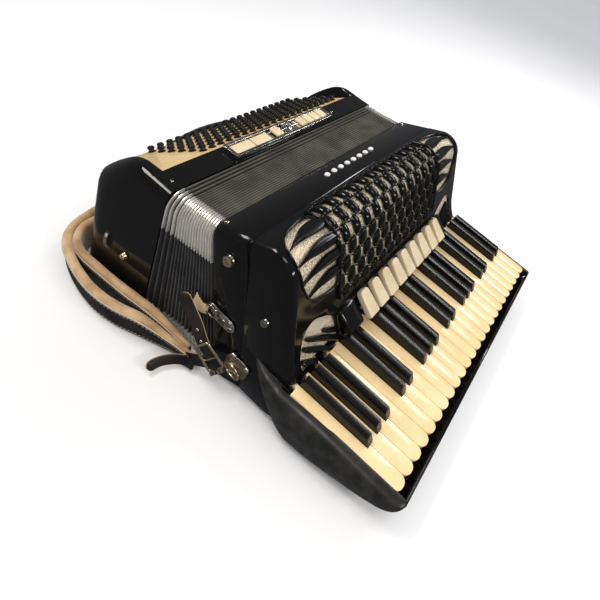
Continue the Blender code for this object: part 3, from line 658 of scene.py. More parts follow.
def end_plate(side):
    """The casing's end below the grille, flush with the chamber's end and curving out to the horn."""
    outline = [(0.0455, -0.0020), (0.0480, -0.0300), (0.0482, -0.0600), (0.0500, -0.0850),
               (0.0560, -0.1060), (0.0664, -0.1275), (0.0850, -0.1362), (0.1120, -0.1470),
               (0.1120, -0.1990), (0.0800, -0.1960), (0.0455, -0.1845)]
    plate = slab(outline, 0, 1, "celluloid", "XZ")
    for vert in plate.data.vertices:
        reach = half_length(-vert.co.z)
        inside = 0.0035 if vert.co.z > -0.13 else 0.007
        vert.co.y = side * (reach + 0.0008 if vert.co.y > 0.5 else reach - inside)
    if side < 0:
        plate.data.flip_normals()
    return bevelled(plate, 0.0006, 2, 50)


def treble_casing():
    """Everything that the CAD casing stands for, as one piece."""
    ends = [horn(-1, 0.0172), horn(1, 0.0060), end_plate(-1), end_plate(1)]
    whole = merged([treble_chamber(), keybed()] + ends, "treble_body")
    moved(smoothed(whole, 45), TREBLE)
    return ride(whole, "treble", "celluloid", "treble_casing")


# ---- grille ----------------------------------------------------------------------------------
FRONT_RUN = COVER_SIDE - SHOULDER - COVER_X
ARC_RUN = SHOULDER * math.pi / 2
WALL_RUN = math.hypot(COVER_FOOT[0] - COVER_SIDE, COVER_FOOT[1] + SHOULDER)
COVER_RUN = FRONT_RUN + ARC_RUN + WALL_RUN
WALL_NORMAL = (0.9969, 0.0792)
FLARE_START = 0.70                  # share of the wall at which its foot begins to flare
FLARE = (0.0060, -0.0008)           # how far the foot flares out to the keys, in x and z
END_ROLL = 0.009                    # radius of the cover's rolled ends
END_GAP = 0.0004                    # the cover stands back from the casing's ends by this much
SKIRT_Z = (-0.1465, -0.1170)        # foot of the rolled ends, at the keys and at the seam


def cover_point(s, y, rise=0.0):
    """A point on the cover: s along its outline from the seam, y along its length, rise off it."""
    if s < FRONT_RUN:
        x, z, normal = COVER_X + s, 0.0, (0.0, 1.0)
    elif s < FRONT_RUN + ARC_RUN:
        turn = (s - FRONT_RUN) / SHOULDER
        normal = (math.sin(turn), math.cos(turn))
        x, z = COVER_SIDE - SHOULDER + SHOULDER * normal[0], -SHOULDER + SHOULDER * normal[1]
    else:
        share = (s - FRONT_RUN - ARC_RUN) / WALL_RUN
        flare = (max(0.0, share - FLARE_START) / (1 - FLARE_START)) ** 2
        x = COVER_SIDE + (COVER_FOOT[0] - COVER_SIDE) * share + FLARE[0] * flare
        z = -SHOULDER + (COVER_FOOT[1] + SHOULDER) * share + FLARE[1] * flare
        normal = WALL_NORMAL
    return Vector((x + normal[0] * rise, y, z + normal[1] * rise))


def cover_end(s):
    """Where the flat of the cover ends along its length, before it rolls over."""
    return half_length(-cover_point(s, 0).z) - END_ROLL - END_GAP


def roll(corner, before, after, radius):
    """Points of a rounded corner between two straight sides."""
    steps = 4
    corner, before, after = Vector(corner), Vector(before), Vector(after)
    start = corner + (before - corner).normalized() * radius
    end = corner + (after - corner).normalized() * radius
    points = []
    for i in range(steps + 1):
        t = i / steps
        points.append(tuple(start * (1 - t) ** 2 + corner * 2 * t * (1 - t) + end * t ** 2))
    return points


def rounded(outline, radius):
    """An outline with every corner rounded."""
    made = []
    for i, corner in enumerate(outline):
        before, after = Vector(outline[i - 1]), Vector(outline[(i + 1) % len(outline)])
        reach = min(radius, 0.45 * (Vector(corner) - before).length, 0.45 * (Vector(corner) - after).length)
        made += roll(corner, before, after, reach)
    return made


# Openings in the cover at the chin end, as s along its outline and y along its length.
FAN_OUTLINE = [
    (0.0130, -0.1375), (0.0108, -0.1510), (0.0140, -0.1730), (0.0195, -0.1890), (0.0280, -0.1995),
    (0.0405, -0.2040), (0.0535, -0.2050), (0.0755, -0.2020), (0.0935, -0.1930), (0.1005, -0.1830),
    (0.1065, -0.1590), (0.1075, -0.1375)]
LOW_FAN_OUTLINE = [
    (0.1258, -0.1950), (0.1248, -0.1830), (0.1340, -0.1620), (0.1450, -0.1455), (0.1725, -0.1430),
    (0.1735, -0.1500), (0.1735, -0.2165), (0.1545, -0.2125), (0.1355, -0.2065)]
FAN_CORNER = 0.012
WEAVE_S = (0.0085, 0.1285)          # the woven panel's run along the outline
CELL = 0.01135                      # width of one woven cell along Y
WEAVE_COLUMNS = 23
WEAVE_ROWS = 7
WEAVE_START = -0.1310               # middle of the first column
WEAVE_END = WEAVE_START + CELL * (WEAVE_COLUMNS - 1)
ROW_RUN = (WEAVE_S[1] - WEAVE_S[0]) / 6.4
RIB_HEIGHT = 0.0034                 # of the blocks and ribs over the cover
BAR_END = 0.1262                    # foot of the cords down the panel's two sides
WEAVE_OUTLINE = [(WEAVE_S[0], WEAVE_START - 0.0035), (WEAVE_S[0], WEAVE_END + 0.006),
                 (WEAVE_S[1] + 0.003, WEAVE_END + 0.006), (WEAVE_S[1], WEAVE_START + 0.004),
                 (0.100, WEAVE_START - 0.0030)]
FAR_SHIFT = -0.004                  # the far openings lie this much off a true mirror image


def far(s, y):
    """The matching place at the far end of the cover."""
    return s, -y + FAR_SHIFT


def mirrored(outline):
    """The same opening at the far end."""
    return [far(s, y) for s, y in outline][::-1]


def cover_rows():
    """The values of s at which the cover's skin has a row of points."""
    rows = [0.0, 0.0008, FRONT_RUN * 0.5]
    rows += [FRONT_RUN + ARC_RUN * i / 12 for i in range(13)]
    rows += [FRONT_RUN + ARC_RUN + WALL_RUN * i / 8 for i in range(1, 9)]
    return rows


def grille_shell():
    """The cover: a filled sheet with its openings, wrapped over the shoulder, with rolled ends."""
    rows = cover_rows()
    boundary = [(s, cover_end(s)) for s in rows] + [(s, -cover_end(s)) for s in rows[::-1]]
    holes = []
    for outline in (FAN_OUTLINE, LOW_FAN_OUTLINE):
        holes += [rounded(outline, FAN_CORNER), rounded(mirrored(outline), FAN_CORNER)]
    holes.append(rounded(WEAVE_OUTLINE, 0.006))
    work = flat_fill([boundary] + holes)
    for s in rows[1:-1]:
        bmesh.ops.bisect_plane(work, geom=work.verts[:] + work.edges[:] + work.faces[:], dist=1e-7,
                               plane_co=(s, 0, 0), plane_no=(1, 0, 0))
    for vert in work.verts:
        vert.co = cover_point(vert.co.x, vert.co.y)
    for side in (-1, 1):
        sections = []
        for step in range(7):
            turn = math.pi / 2 * step / 6
            drop, reach = END_ROLL * (1 - math.cos(turn)), END_ROLL * math.sin(turn)
            sections.append([cover_point(s, side * (cover_end(s) + reach), -drop) for s in rows])
        rolled = [[work.verts.new(point) for point in section] for section in sections]
        for first, second in zip(rolled, rolled[1:]):
            for i in range(len(rows) - 1):
                work.faces.new((first[i], first[i + 1], second[i + 1], second[i]))
        foot = side * (half_length(-COVER_FOOT[1]) - END_GAP)
        base = [work.verts.new((COVER_FOOT[0] + 0.0045, foot, SKIRT_Z[0])),
                work.verts.new((COVER_X, foot, SKIRT_Z[1]))]
        work.faces.new(rolled[-1] + base)
    bmesh.ops.remove_doubles(work, verts=work.verts, dist=2e-5)
    shell = from_bmesh(work, "grille_cover", "grille", smooth=50)
    return bevelled(thickened(shell, 0.0028), 0.0006, 2, 50)


def pillow(s, y, half_s, half_y):
    """One raised woven block on the cover, higher at its middle."""
    across = [-1, -0.86, -0.45, 0, 0.45, 0.86, 1]
    along = [-1, -0.8, -0.4, 0, 0.4, 0.8, 1]
    sections = []
    for v in along:
        width = half_y * (1 - 0.14 * abs(v) ** 3)
        crest = RIB_HEIGHT * (1 - 0.72 * v ** 4)
        row = [cover_point(s + v * half_s, y - width, -0.0015)]
        for u in across:
            row.append(cover_point(s + v * half_s, y + u * width, crest * (1 - abs(u) ** 4 * 0.88)))
        row.append(cover_point(s + v * half_s, y + width, -0.0015))
        sections.append(row)
    return loft(sections)


def grille_weave():
    """Basket weave: raised blocks on alternate cells, and a wavy cord across between the rows."""
    blocks = []
    for row in range(WEAVE_ROWS):
        last = row == WEAVE_ROWS - 1
        s = WEAVE_S[0] + ROW_RUN * (row + (0.30 if last else 0.42))
        half = ROW_RUN * (0.38 if last else 0.50)
        for column in range(WEAVE_COLUMNS):
            if (row + column) % 2 == 0:
                continue
            y = WEAVE_START + CELL * column
            form = pillow(s, y, half, CELL * 0.50)
            blocks.append(from_bmesh(form, "block", "grille", smooth=70))
    for row in range(WEAVE_ROWS):
        s = WEAVE_S[0] + ROW_RUN * (row - 0.06)
        points = []
        for i in range(WEAVE_COLUMNS * 4 + 1):
            t = i / 4
            y = WEAVE_START - CELL / 2 + CELL * t
            wave = math.cos(math.pi * (t + row - 0.5))
            points.append(cover_point(s + 0.0016 * wave, y, 0.0012 + 0.0014 * abs(wave)))
        blocks.append(tube(points, 0.0010, "grille", 6))
    for column in (-0.62, WEAVE_COLUMNS - 0.38):
        points = [cover_point(WEAVE_S[0] + (BAR_END - WEAVE_S[0]) * i / 30,
                              WEAVE_START + CELL * column, 0.0022) for i in range(31)]
        blocks.append(tube(points, 0.0019, "grille", 8))
    whole = merged(blocks, "grille_weave")
    return moved(smoothed(whole, 60), TREBLE)


def blade(root, tip, width, bow, sharp):
    """A curved rib across a fan opening, with a bead along one edge and a pointed or blunt tip."""
    pointed = sharp < 4
    sections = []
    for i in range(17):
        t = i / 16
        s = root[0] + (tip[0] - root[0]) * t - bow * math.sin(math.pi * t * 0.9)
        y = root[1] + (tip[1] - root[1]) * t
        swell = 0.72 + 0.5 * math.sin(math.pi * min(1, t * 1.1 + 0.1)) if pointed else 1.0
        half = width / 2 * (1 - t ** sharp) ** (1.0 if pointed else 0.5) * swell + 0.0003
        rise = RIB_HEIGHT * (1 - 0.75 * t ** (sharp * 0.9))
        shape = [(-1, -0.0020), (-1, 0.0002), (-0.90, rise * 0.66), (-0.74, rise * 0.72),
                 (-0.60, rise * 0.50), (-0.20, rise * 0.90), (0.10, rise), (0.60, rise * 0.62),
                 (1, 0.0002), (1, -0.0020)]
        sections.append([cover_point(s + half * across, y, up) for across, up in shape])
    return from_bmesh(loft(sections), "blade", "grille", smooth=45)


# Ribs of the fans: root, tip, width, how far they bow, and how blunt the tip is.
FAN_BLADES = (((0.0300, -0.1340), (0.0370, -0.2000), 0.0138, 0.0053, 2.2),
              ((0.0500, -0.1340), (0.0545, -0.2045), 0.0122, 0.0036, 2.2),
              ((0.0685, -0.1340), (0.0745, -0.2015), 0.0120, 0.0048, 2.2),
              ((0.0880, -0.1340), (0.0935, -0.1920), 0.0112, 0.0042, 2.2))
LOW_BLADES = (((0.1660, -0.1420), (0.1510, -0.1690), 0.0066, 0.0, 9.0),
              ((0.1752, -0.1440), (0.1405, -0.2020), 0.0078, 0.0, 9.0),
              ((0.1752, -0.1665), (0.1510, -0.2075), 0.0078, 0.0, 9.0),
              ((0.1752, -0.1910), (0.1640, -0.2125), 0.0078, 0.0, 9.0))

# The worn ledge above the keys, from beside a low fan to the middle.
LEDGE_LINE = ((0.1745, -0.1405), (0.1535, -0.1405), (0.1485, -0.1392), (0.1462, -0.1355),
              (0.1460, -0.1000), (0.1460, -0.002))


def grille_fans():
    """The four fans of curved ribs over the end openings."""
    ribs = []
    for root, tip, *form in FAN_BLADES + LOW_BLADES:
        for flip in (False, True):
            ends = [far(s, y) if flip else (s, y) for s, y in (root, tip)]
            ribs.append(blade(*ends, *form))
    for outline in (FAN_OUTLINE, mirrored(FAN_OUTLINE)):
        points = [cover_point(s, y, 0.0006) for s, y in rounded(outline, FAN_CORNER)]
        ribs.append(tube(points, 0.0012, "grille", 8, closed=True))
    for flip in (False, True):
        ledge = [far(s, y) if flip else (s, y) for s, y in LEDGE_LINE]
        ribs.append(tube([cover_point(s, y, 0.0004) for s, y in ledge], 0.0007, "edge", 6))
    return moved(smoothed(merged(ribs, "grille_fans"), 60), TREBLE)


def end_block(y0, y1):
    """Smooth black block that closes the switch row at one end."""
    outline = [(0.1035, -0.1045)] + arc(0.1075, -0.1105, 0.0060, 85, 35, 4)
    outline += arc(0.1215, -0.1285, 0.0060, 30, -60, 5) + [(0.1050, -0.1350)]
    return bevelled(slab(outline, y0, y1, "grille", "XZ"), 0.0042, 4, 60)


CLOTH_RISE = -0.0030                # the cloth hangs this far behind the cover's face
CLOTH_EDGE = 0.006                  # and stops this far short of the cover's ends
CLOTH_ENDS = 0.002


def grille():
    """The cover's pieces, each riding on the treble body."""
    blocks = [end_block(-0.1395, -0.1070), end_block(0.1315, 0.1540)]
    shell = merged([grille_shell()] + blocks, "grille_cover")
    ride(moved(smoothed(shell, 50), TREBLE), "treble", "grille", "treble_grille")
    ride(grille_weave(), "treble", "grille")
    ride(grille_fans(), "treble", "grille")
    cloth_run = COVER_RUN - 2 * CLOTH_EDGE
    rows, columns = 24, 60
    sections = []
    for i in range(rows + 1):
        s = CLOTH_EDGE + cloth_run * i / rows
        reach = cover_end(s) - CLOTH_ENDS
        sections.append([cover_point(s, -reach + 2 * reach * j / columns, CLOTH_RISE)
                         for j in range(columns + 1)])
    cloth = from_bmesh(loft(sections, closed_ring=False), "speaker_cloth", "cloth", smooth=70)
    ride(moved(cloth, TREBLE), "treble", "cloth", "grille_cloth")


# ---- keys and switches -----------------------------------------------------------------------
def keys():
    """Each key keeps its CAD form, with rounded edges and its own material."""
    for name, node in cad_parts.items():
        if not name.startswith("key_") or name == "key_axle":
            continue
        white = name.startswith("key_white")
        finish = "ivory" if white else "ebony"
        mesh = node.data.copy()
        mesh.materials.clear()
        work = bmesh.new()
        work.from_mesh(mesh)
        bmesh.ops.remove_doubles(work, verts=work.verts, dist=1e-6)
        bmesh.ops.dissolve_limit(work, angle_limit=0.01, verts=work.verts, edges=work.edges)
        work.to_mesh(mesh)
        work.free()
        piece = made_object(name + "_top", mesh, finish)
        bevelled(piece, 0.0007 if white else 0.0014, 2 if white else 3, 50)
        ride(piece, name, finish, name)


SWITCH_PITCH = 0.0266
SWITCH_FIRST_Y = -0.095
SWITCH_COUNT = 9


def switches():
    """Nine tombstone-shaped cream rockers over the CAD rod."""
    down = Vector((0.0230, 0, -0.0320)).normalized()
    out = Vector((-down.z, 0, down.x))
    half_low, half_high, length, thick, corner = 0.0108, 0.0084, 0.0345, 0.0078, 0.0046
    turn = length / 2 - corner
    face = [(-length / 2, -half_low)] + arc(turn, corner - half_high, corner, -84, 0, 6)
    face += arc(turn, half_high - corner, corner, 0, 84, 6) + [(-length / 2, half_low)]
    rockers = []
    for index in range(SWITCH_COUNT):
        centre = Vector((0.1254, SWITCH_FIRST_Y + SWITCH_PITCH * index, -0.1097))
        rocker = bevelled(slab(face, -thick, 0, "switch"), 0.0011, 3, 40)
        place = Matrix((-down, Vector((0, 1, 0)), out)).transposed().to_4x4()
        place.translation = centre
        rockers.append(moved(rocker, place))
    reach = 0.0125
    last_y = SWITCH_FIRST_Y + SWITCH_PITCH * (SWITCH_COUNT - 1)
    rod = tube([(0.1200, SWITCH_FIRST_Y - reach, -0.1140), (0.1200, last_y + reach, -0.1140)],
               0.0016, "steel", 10)
    bank = merged(rockers + [rod], "switch_rockers")
    moved(smoothed(bank, 40), TREBLE)
    ride(bank, "front_switches", "switch", "register_switches")


# ---- bellows ---------------------------------------------------------------------------------
FOLDS = 17
FOLD_DEPTH = 0.0095
LOOSE_FOLDS = 3                     # folds next to the bass side that stand wider open
LOOSE_WIDTH = 1.7                   # how much wider
TIGHT_FOLDS = FOLDS - LOOSE_FOLDS
FOLD_UNIT = 1 / (TIGHT_FOLDS + LOOSE_FOLDS * LOOSE_WIDTH)
# A ridge's tape: share of a fold's width, how far in it lies, and the finish after it.
RIDGE_SHAPE = ((-0.20, 0.0016, 1), (-0.10, 0.0, 1), (0.10, 0.0, 1), (0.20, 0.0016, 0))
END_FACE_Y = 0.205                  # past this the walls are the bellows' ends
CORNER_STEPS = 6                    # spans round each corner of a ring, and along each side


def fold_span(fold):
    """A fold's start and middle on the way to the bass, 0 to 1, and how far in its ridge lies."""
    loose = fold - TIGHT_FOLDS
    if loose < 0:
        return fold * FOLD_UNIT, (fold + 0.5) * FOLD_UNIT, 0.0
    start = (TIGHT_FOLDS + loose * LOOSE_WIDTH) * FOLD_UNIT
    return start, start + FOLD_UNIT * LOOSE_WIDTH / 2, -0.0012


def bellows_ring(share, inset):
    """One rounded-rectangle section of the bellows, as a list of points."""
    low, high = CASE_DEPTH - 0.004 - inset, 0.0012 + inset
    radius = max(0.004, 0.017 - inset)
    corners = []
    for side in (1, -1):
        spans = ((high, 90, 0), (low, 0, -90)) if side == 1 else ((low, -90, -180), (high, 180, 90))
        for depth, start, end in spans:
            centre = depth + radius if depth == high else depth - radius
            for i in range(CORNER_STEPS + 1):
                turn = math.radians(start + (end - start) * i / CORNER_STEPS)
                here = centre - radius * math.sin(turn)
                y = side * (half_length(here) - 0.0015 - inset - radius) + radius * math.cos(turn)
                corners.append((here, y))
    points = []
    for i, (depth, y) in enumerate(corners):
        after = corners[(i + 1) % len(corners)]
        pieces = CORNER_STEPS if i % (CORNER_STEPS + 1) == CORNER_STEPS else 1
        for k in range(pieces):
            points.append((depth + (after[0] - depth) * k / pieces,
                           y + (after[1] - y) * k / pieces))
    ring = []
    for depth, y in points:
        level = FRONT_Z - depth * math.cos(LEAN)
        treble = Vector((TREBLE_X - 0.0004 + depth * math.sin(LEAN), y, level))
        bass = Vector((BASS_X + 0.0004 - (FRONT_Z - level) * math.tan(BASS_RAD), y, level))
        ring.append(treble.lerp(bass, share))
    return ring


def fold_insets():
    """Share of the way to the bass, inset and the finish after it, down and up every fold."""
    made = [(0.0, 0.004, 0)]
    for fold in range(FOLDS):
        start, middle, ridge = fold_span(fold)
        if fold:
            made.append((start, FOLD_DEPTH, 0))
        for across, inset, finish in RIDGE_SHAPE:
            made.append((middle + across * FOLD_UNIT, ridge + inset, finish))
    made.append((1.0, 0.004, 0))
    return made


# A corner guard across its ridge: share of its half width, and how far in it lies.
GUARD_SHAPE = ((-1.0, 0.0068), (-0.60, 0.0018), (-0.22, -0.0005), (0.22, -0.0005), (0.60, 0.0018),
               (1.0, 0.0068))
GUARD_HALF = 0.36 * FOLD_UNIT


def run_on(last, beyond):
    """A guard's end: a little along the front or back, more down the bellows' ends."""
    made = []
    for a, b in zip(last, beyond):
        along = (b - a).normalized()
        down_end = 0.0240 if a.z > 0.09 else 0.0050
        made.append(a + along * (0.0025 if abs(along.y) > 0.5 else down_end))
    return made


def corner_guards():
    """Plated guards over every ridge's four corners."""
    guards = []
    for fold in range(FOLDS):
        _, middle, ridge = fold_span(fold)
        outer = []
        for across, inset in GUARD_SHAPE:
            lift = ridge if inset < 0.004 else 0.0
            outer.append(bellows_ring(middle + GUARD_HALF * across, inset + lift))
        count = len(outer[0])
        for start in range(0, count, 2 * CORNER_STEPS):
            indices = [(start + i) % count for i in range(-1, CORNER_STEPS + 2)]
            sections = [[ring[index] for ring in outer] for index in indices]
            sections[0] = run_on(sections[1], sections[0])
            sections[-1] = run_on(sections[-2], sections[-1])
            form = loft(sections, closed_ring=False)
            guards.append(from_bmesh(form, "guard", "guard", smooth=60))
    corners = merged(guards, "bellows_corner_guards")
    return smoothed(thickened(corners, 0.0003, 1), 60)


def stretch(obj, slot):
    """Bake a piece's placement into its mesh. The slot is not used."""
    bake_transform(obj)


def bellows():
    """Folded walls with taped ridges and plated corners."""
    steps = fold_insets()
    rings = [bellows_ring(share, inset) for share, inset, _ in steps]
    inner = [bellows_ring(1.0, 0.018), bellows_ring(0.0, 0.018)]
    work = loft(rings + inner, closed_path=True)
    count = len(rings[0])
    work.faces.index_update()
    for index, face in enumerate(work.faces):
        step = index // count
        if step < len(steps):
            # tape on the bellows' ends takes the darker copy: painted shade
            at_end = abs(face.calc_center_median().y) > END_FACE_Y
            face.material_index = steps[step][2] * (2 if at_end else 1)
    walls = from_bmesh(work, "bellows_walls", "panel", "tape", "shaded_copy_end_tape", smooth=50)
    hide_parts("bellows")
    corners = corner_guards()
    stretch(walls, "bellows")
    stretch(corners, "chrome")


# ---- bass side -------------------------------------------------------------------------------
def slope_matrix(tilt, origin):
    """A frame on a sloping face of the bass side: X away from the bellows, Z out of the face."""
    along, out = math.cos(tilt), math.sin(tilt)
    return Matrix(((-along, 0, out, origin[0]), (0, 1, 0, 0), (out, 0, along, origin[1]), (0, 0, 0, 1)))


def on_bass_front(left):
    """World (x, z) on the bass front plane."""
    return BASS_X - left * math.cos(BASS_RAD), FRONT_Z + left * math.sin(BASS_RAD)


def on_board(down, rise=0.0):
    """World (x, z) on the sloping board."""
    x, z = on_bass_front(BAND)
    z -= 0.0030
    return (x - down * math.cos(BOARD_RAD) - rise * math.sin(BOARD_RAD),
            z - down * math.sin(BOARD_RAD) + rise * math.cos(BOARD_RAD))


BOARD_MATRIX = slope_matrix(-BOARD_RAD, on_board(0))
FRONT_MATRIX = slope_matrix(BASS_RAD, on_bass_front(0))
LOBE_LINE = ((-0.1160, 0.1833), (-0.1290, 0.1838), (-0.1450, 0.1795), (-0.1600, 0.1705),
             (-0.1760, 0.1590), (-0.1900, 0.1475), (-0.1985, 0.1385), (-0.2028, 0.1290))
CORNER = 0.040                      # plan radius between the casing's ends and its outer wall
CORNER_PIVOT = -0.088               # the casing draws in towards this x round a corner
CORNER_DEPTH = 0.128
TOP_ROLL = 0.010
BOARD_SINK = -0.0215                # the floor under the buttons


def upper_lines():
    """Outlines of the lobe and of the sunken floor under the buttons, with equal numbers of points."""
    steps = 22
    start = [on_bass_front(left) for left in (0.0, BAND * 0.5, BAND - 0.001, BAND)]
    control = [Vector(on_bass_front(BAND))] + [Vector(point) for point in LOBE_LINE]
    lobe = start + [tuple(catmull(control, (i + 1) / steps)) for i in range(steps)]
    floor = [on_board(0.0004 + (BOARD_LENGTH + 0.0015) * i / (steps - 3), BOARD_SINK)
             for i in range(steps - 2)]
    rim = [on_board(BOARD_LENGTH + 0.0026, -0.0010),
           (LOBE_LINE[-1][0], on_board(BOARD_LENGTH)[1] - 0.0050)]
    return lobe, start + floor + rim


def wall_line():
    """Outer wall, foot and back, shared by both outlines."""
    back_x = BASS_X - FRONT_Z * math.tan(BASS_RAD)
    line = [(-0.2105, 0.0850), (-0.2155, 0.0500), (BASS_FOOT_X, 0.0100)]
    line += arc(BASS_FOOT_X + 0.0080, 0.0080, 0.0080, 188, 270, 4)
    return line + [(-0.160, 0.0), (back_x, 0.0)]


def rounding(place, radius, limit):
    """How far a quarter-round of a radius has drawn in at a place near its limit."""
    past = max(0.0, min(radius, place - (limit - radius)))
    return radius - math.sqrt(radius * radius - past * past)


def bass_section(y):
    """The bass shell's outline at one place along its length."""
    swoop = max(smoothstep(-y, 0.170, 0.197), smoothstep(y, 0.184, 0.204))
    line = [tuple(Vector(b).lerp(Vector(a), swoop)) for a, b in zip(*upper_lines())] + wall_line()
    drop = rounding(abs(y), TOP_ROLL, HALF_FRONT)
    draw = rounding(abs(y), CORNER, HALF_FRONT)
    made = []
    for x, z in line:
        if x < CORNER_PIVOT:
            x = CORNER_PIVOT + (x - CORNER_PIVOT) * (1 - draw / CORNER_DEPTH)
        z -= drop * smoothstep(z, 0.05, 0.13)
        longer = half_length(FRONT_Z - z) / HALF_FRONT - 1
        made.append((x, y * (1 + longer * abs(y) / HALF_FRONT), z))
    return made


def bass_shell():
    """The black bass casing, whose lobes swoop down to the button board."""
    ends = [HALF_FRONT - CORNER + CORNER * math.sin(math.radians(90 * i / 18)) for i in range(19)]
    middle = [-0.168, -0.12, -0.06, 0.0, 0.06, 0.12, 0.168]
    places = sorted({-y for y in ends} | set(middle) | set(ends))
    sections = [bass_section(y) for y in places]
    work = loft(sections, closed_ring=False)
    work.verts.ensure_lookup_table()
    count = len(sections[0])
    work.faces.new([work.verts[i] for i in range(count)])
    last = (len(sections) - 1) * count
    work.faces.new([work.verts[last + i] for i in range(count)])
    shell = from_bmesh(work, "bass_body", "celluloid", smooth=45)
    return smoothed(thickened(shell, 0.0030), 45)


def bass_board():
    """Cream board with a hole for every button."""
    outline = box_outline(0, BOARD_Y[0], BOARD_LENGTH, BOARD_Y[1])
    holes = [arc(down, y, 0.0054, 0, 345, 15) for down, y in button_places()]
    board = slab(outline, -0.0030, 0, "board", "XY", holes)
    bevelled(board, 0.0004, 1, 60)
    moved(board, BOARD_MATRIX)
    board.name = "button_board"
    ride(board, "bass", "ivory", "bass_button_board")


def button_places():
    """Down the board and along it, for every button."""
    return [(FIRST_BUTTON[0] + ROW_PITCH * row, FIRST_BUTTON[1] - ROW_SHIFT * row + BUTTON_PITCH * column)
            for row in range(ROWS) for column in range(COLUMNS)]


def bass_buttons():
    """Domed black buttons with a collar, over the plate that joins them."""
    profile = [(0.0, 0.0078), (0.0022, 0.0076), (0.0038, 0.0069), (0.0046, 0.0057),
               (0.0045, 0.0042), (0.0036, 0.0028), (0.0036, 0.0016), (0.0049, 0.0010),
               (0.0049, -0.0008), (0.0034, -0.0012), (0.0034, -0.0140), (0.0, -0.0140)]
    pieces = [moved(turned(profile, 14, "button"), Matrix.Translation((*place, 0)))
              for place in button_places()]
    plate = slab(box_outline(0.012, -0.158, 0.103, 0.178), -0.0155, -0.0135, "steel")
    whole = merged(pieces + [plate], "button_tops")
    moved(smoothed(whole, 50), BOARD_MATRIX)
    ride(whole, "bass_buttons", "button", "bass_buttons")


TRAY = (0.0030, -0.107, 0.0275, 0.100)      # the tray on the band: left, low y, right, high y
PLATES = ((-0.100, -0.066), (-0.064, -0.034), (0.0240, 0.0270))
PADS = (-0.018, 0.036, 0.052, 0.068, 0.084)
PAD_LEFT = 0.0153                           # the switches' line down the middle of the tray
MEDALLION = ((0.0070, 0.0016), (0.0090, 0.0016), (0.0096, 0.0030), (0.0090, 0.0046),
             (0.0074, 0.0046), (0.0068, 0.0036), (0.0048, 0.0036), (0.0030, 0.0050), (0.0, 0.0056))


def bass_tray():
    """Plated tray on the band with its cream plates and a plain ring."""
    left, low, right, high = TRAY
    well = rounded(box_outline(left + 0.0038, low + 0.005, right - 0.0038, high - 0.005), 0.002)
    rim = slab(rounded(box_outline(*TRAY), 0.003), 0.0004, 0.0056, "chrome", "XY", [well])
    pieces = [bevelled(rim, 0.0014, 3, 60), slab(well, 0.0004, 0.0016, "chrome")]
    for y0, y1 in PLATES:
        plate = rounded(box_outline(left + 0.0048, y0, right - 0.0048, y1), 0.001)
        pieces.append(bevelled(slab(plate, 0.0017, 0.0040, "switch"), 0.0006, 2, 60))
    ring = turned(MEDALLION, 32, "chrome")
    pieces.append(moved(ring, Matrix.Translation((0.0152, 0.006, 0))))
    tray = merged(pieces, "bass_tray")
    moved(smoothed(tray, 50), FRONT_MATRIX)
    ride(tray, "bass", "chrome", "bass_register_frame")
    pads = []
    for y in PADS:
        square = box_outline(PAD_LEFT - 0.0074, y - 0.0068, PAD_LEFT + 0.0074, y + 0.0068)
        pads.append(bevelled(slab(rounded(square, 0.0012), 0.0031, 0.0064, "switch"), 0.0008, 2, 60))
    pads.append(tube([(PAD_LEFT, -0.024, 0.004), (PAD_LEFT, 0.0905, 0.004)], 0.0009, "steel", 8))
    bank = merged(pads, "bass_switch_pads")
    moved(smoothed(bank, 50), FRONT_MATRIX)
    ride(bank, "bass_switches", "switch", "bass_switches")


def bass_side():
    """The bass section's shell, board, buttons and tray."""
    ride(bass_shell(), "bass", "celluloid", "bass_casing")
    bass_board()
    bass_buttons()
    bass_tray()


# ---- shoulder straps -------------------------------------------------------------------------
# Half of each strap's line on the ground, from its end at the bracket to its middle: x, and y outward.
OUTER_STRAP = (
    (0.0120, 0.2500), (-0.0120, 0.2525), (-0.0360, 0.2575), (-0.0655, 0.2645), (-0.0930, 0.2720),
    (-0.1250, 0.2750), (-0.1550, 0.2715), (-0.1850, 0.2635), (-0.2135, 0.2510), (-0.2360, 0.2290),
    (-0.2470, 0.1950), (-0.2570, 0.1400), (-0.2745, 0.0660), (-0.2825, 0.0))
INNER_STRAP = (
    (0.0, 0.2446), (-0.0200, 0.2447), (-0.0450, 0.2456), (-0.0750, 0.2475), (-0.1050, 0.2490),
    (-0.1350, 0.2492), (-0.1620, 0.2488), (-0.1850, 0.2476), (-0.2080, 0.2412), (-0.2252, 0.2239),
    (-0.2318, 0.2001), (-0.2332, 0.1500), (-0.2360, 0.0800), (-0.2390, 0.0))
STRAP_HEIGHTS = (0.0200, 0.0400)    # at the straps' ends and along the padded run
STRAP_THICKS = (0.0060, 0.0115)
SECTION_POINTS = 14                 # points round a strap's cross-section
LEATHER_SIDES = (0, 1, 2, 13)       # its sides that are black leather; the rest are suede


def strap_stations(half):
    """Places along a strap: each with its outward direction, thickness, height and heading."""
    count = 150
    control = [(x, -y, 0) for x, y in half] + [(x, y, 0) for x, y in half[-2::-1]]
    path = spline_points(control, count)
    made = []
    for index, here in enumerate(path):
        before, after = path[max(index - 1, 0)], path[min(index + 1, count - 1)]
        along = (after - before).normalized()
        outward = Vector((along.y, -along.x, 0))
        if outward.dot(here - Vector((-0.1, 0, 0))) < 0:
            outward = -outward
        padded = smoothstep(-here.x, -0.010, 0.075)
        thick = STRAP_THICKS[0] + (STRAP_THICKS[1] - STRAP_THICKS[0]) * padded
        height = STRAP_HEIGHTS[0] + (STRAP_HEIGHTS[1] - STRAP_HEIGHTS[0]) * padded
        ripple = noise.noise(Vector((index * 0.16, half[0][0] * 90, 0)))
        made.append((here, outward, thick * (1 + 0.07 * ripple), height * (1 + 0.025 * ripple), along))
    return made


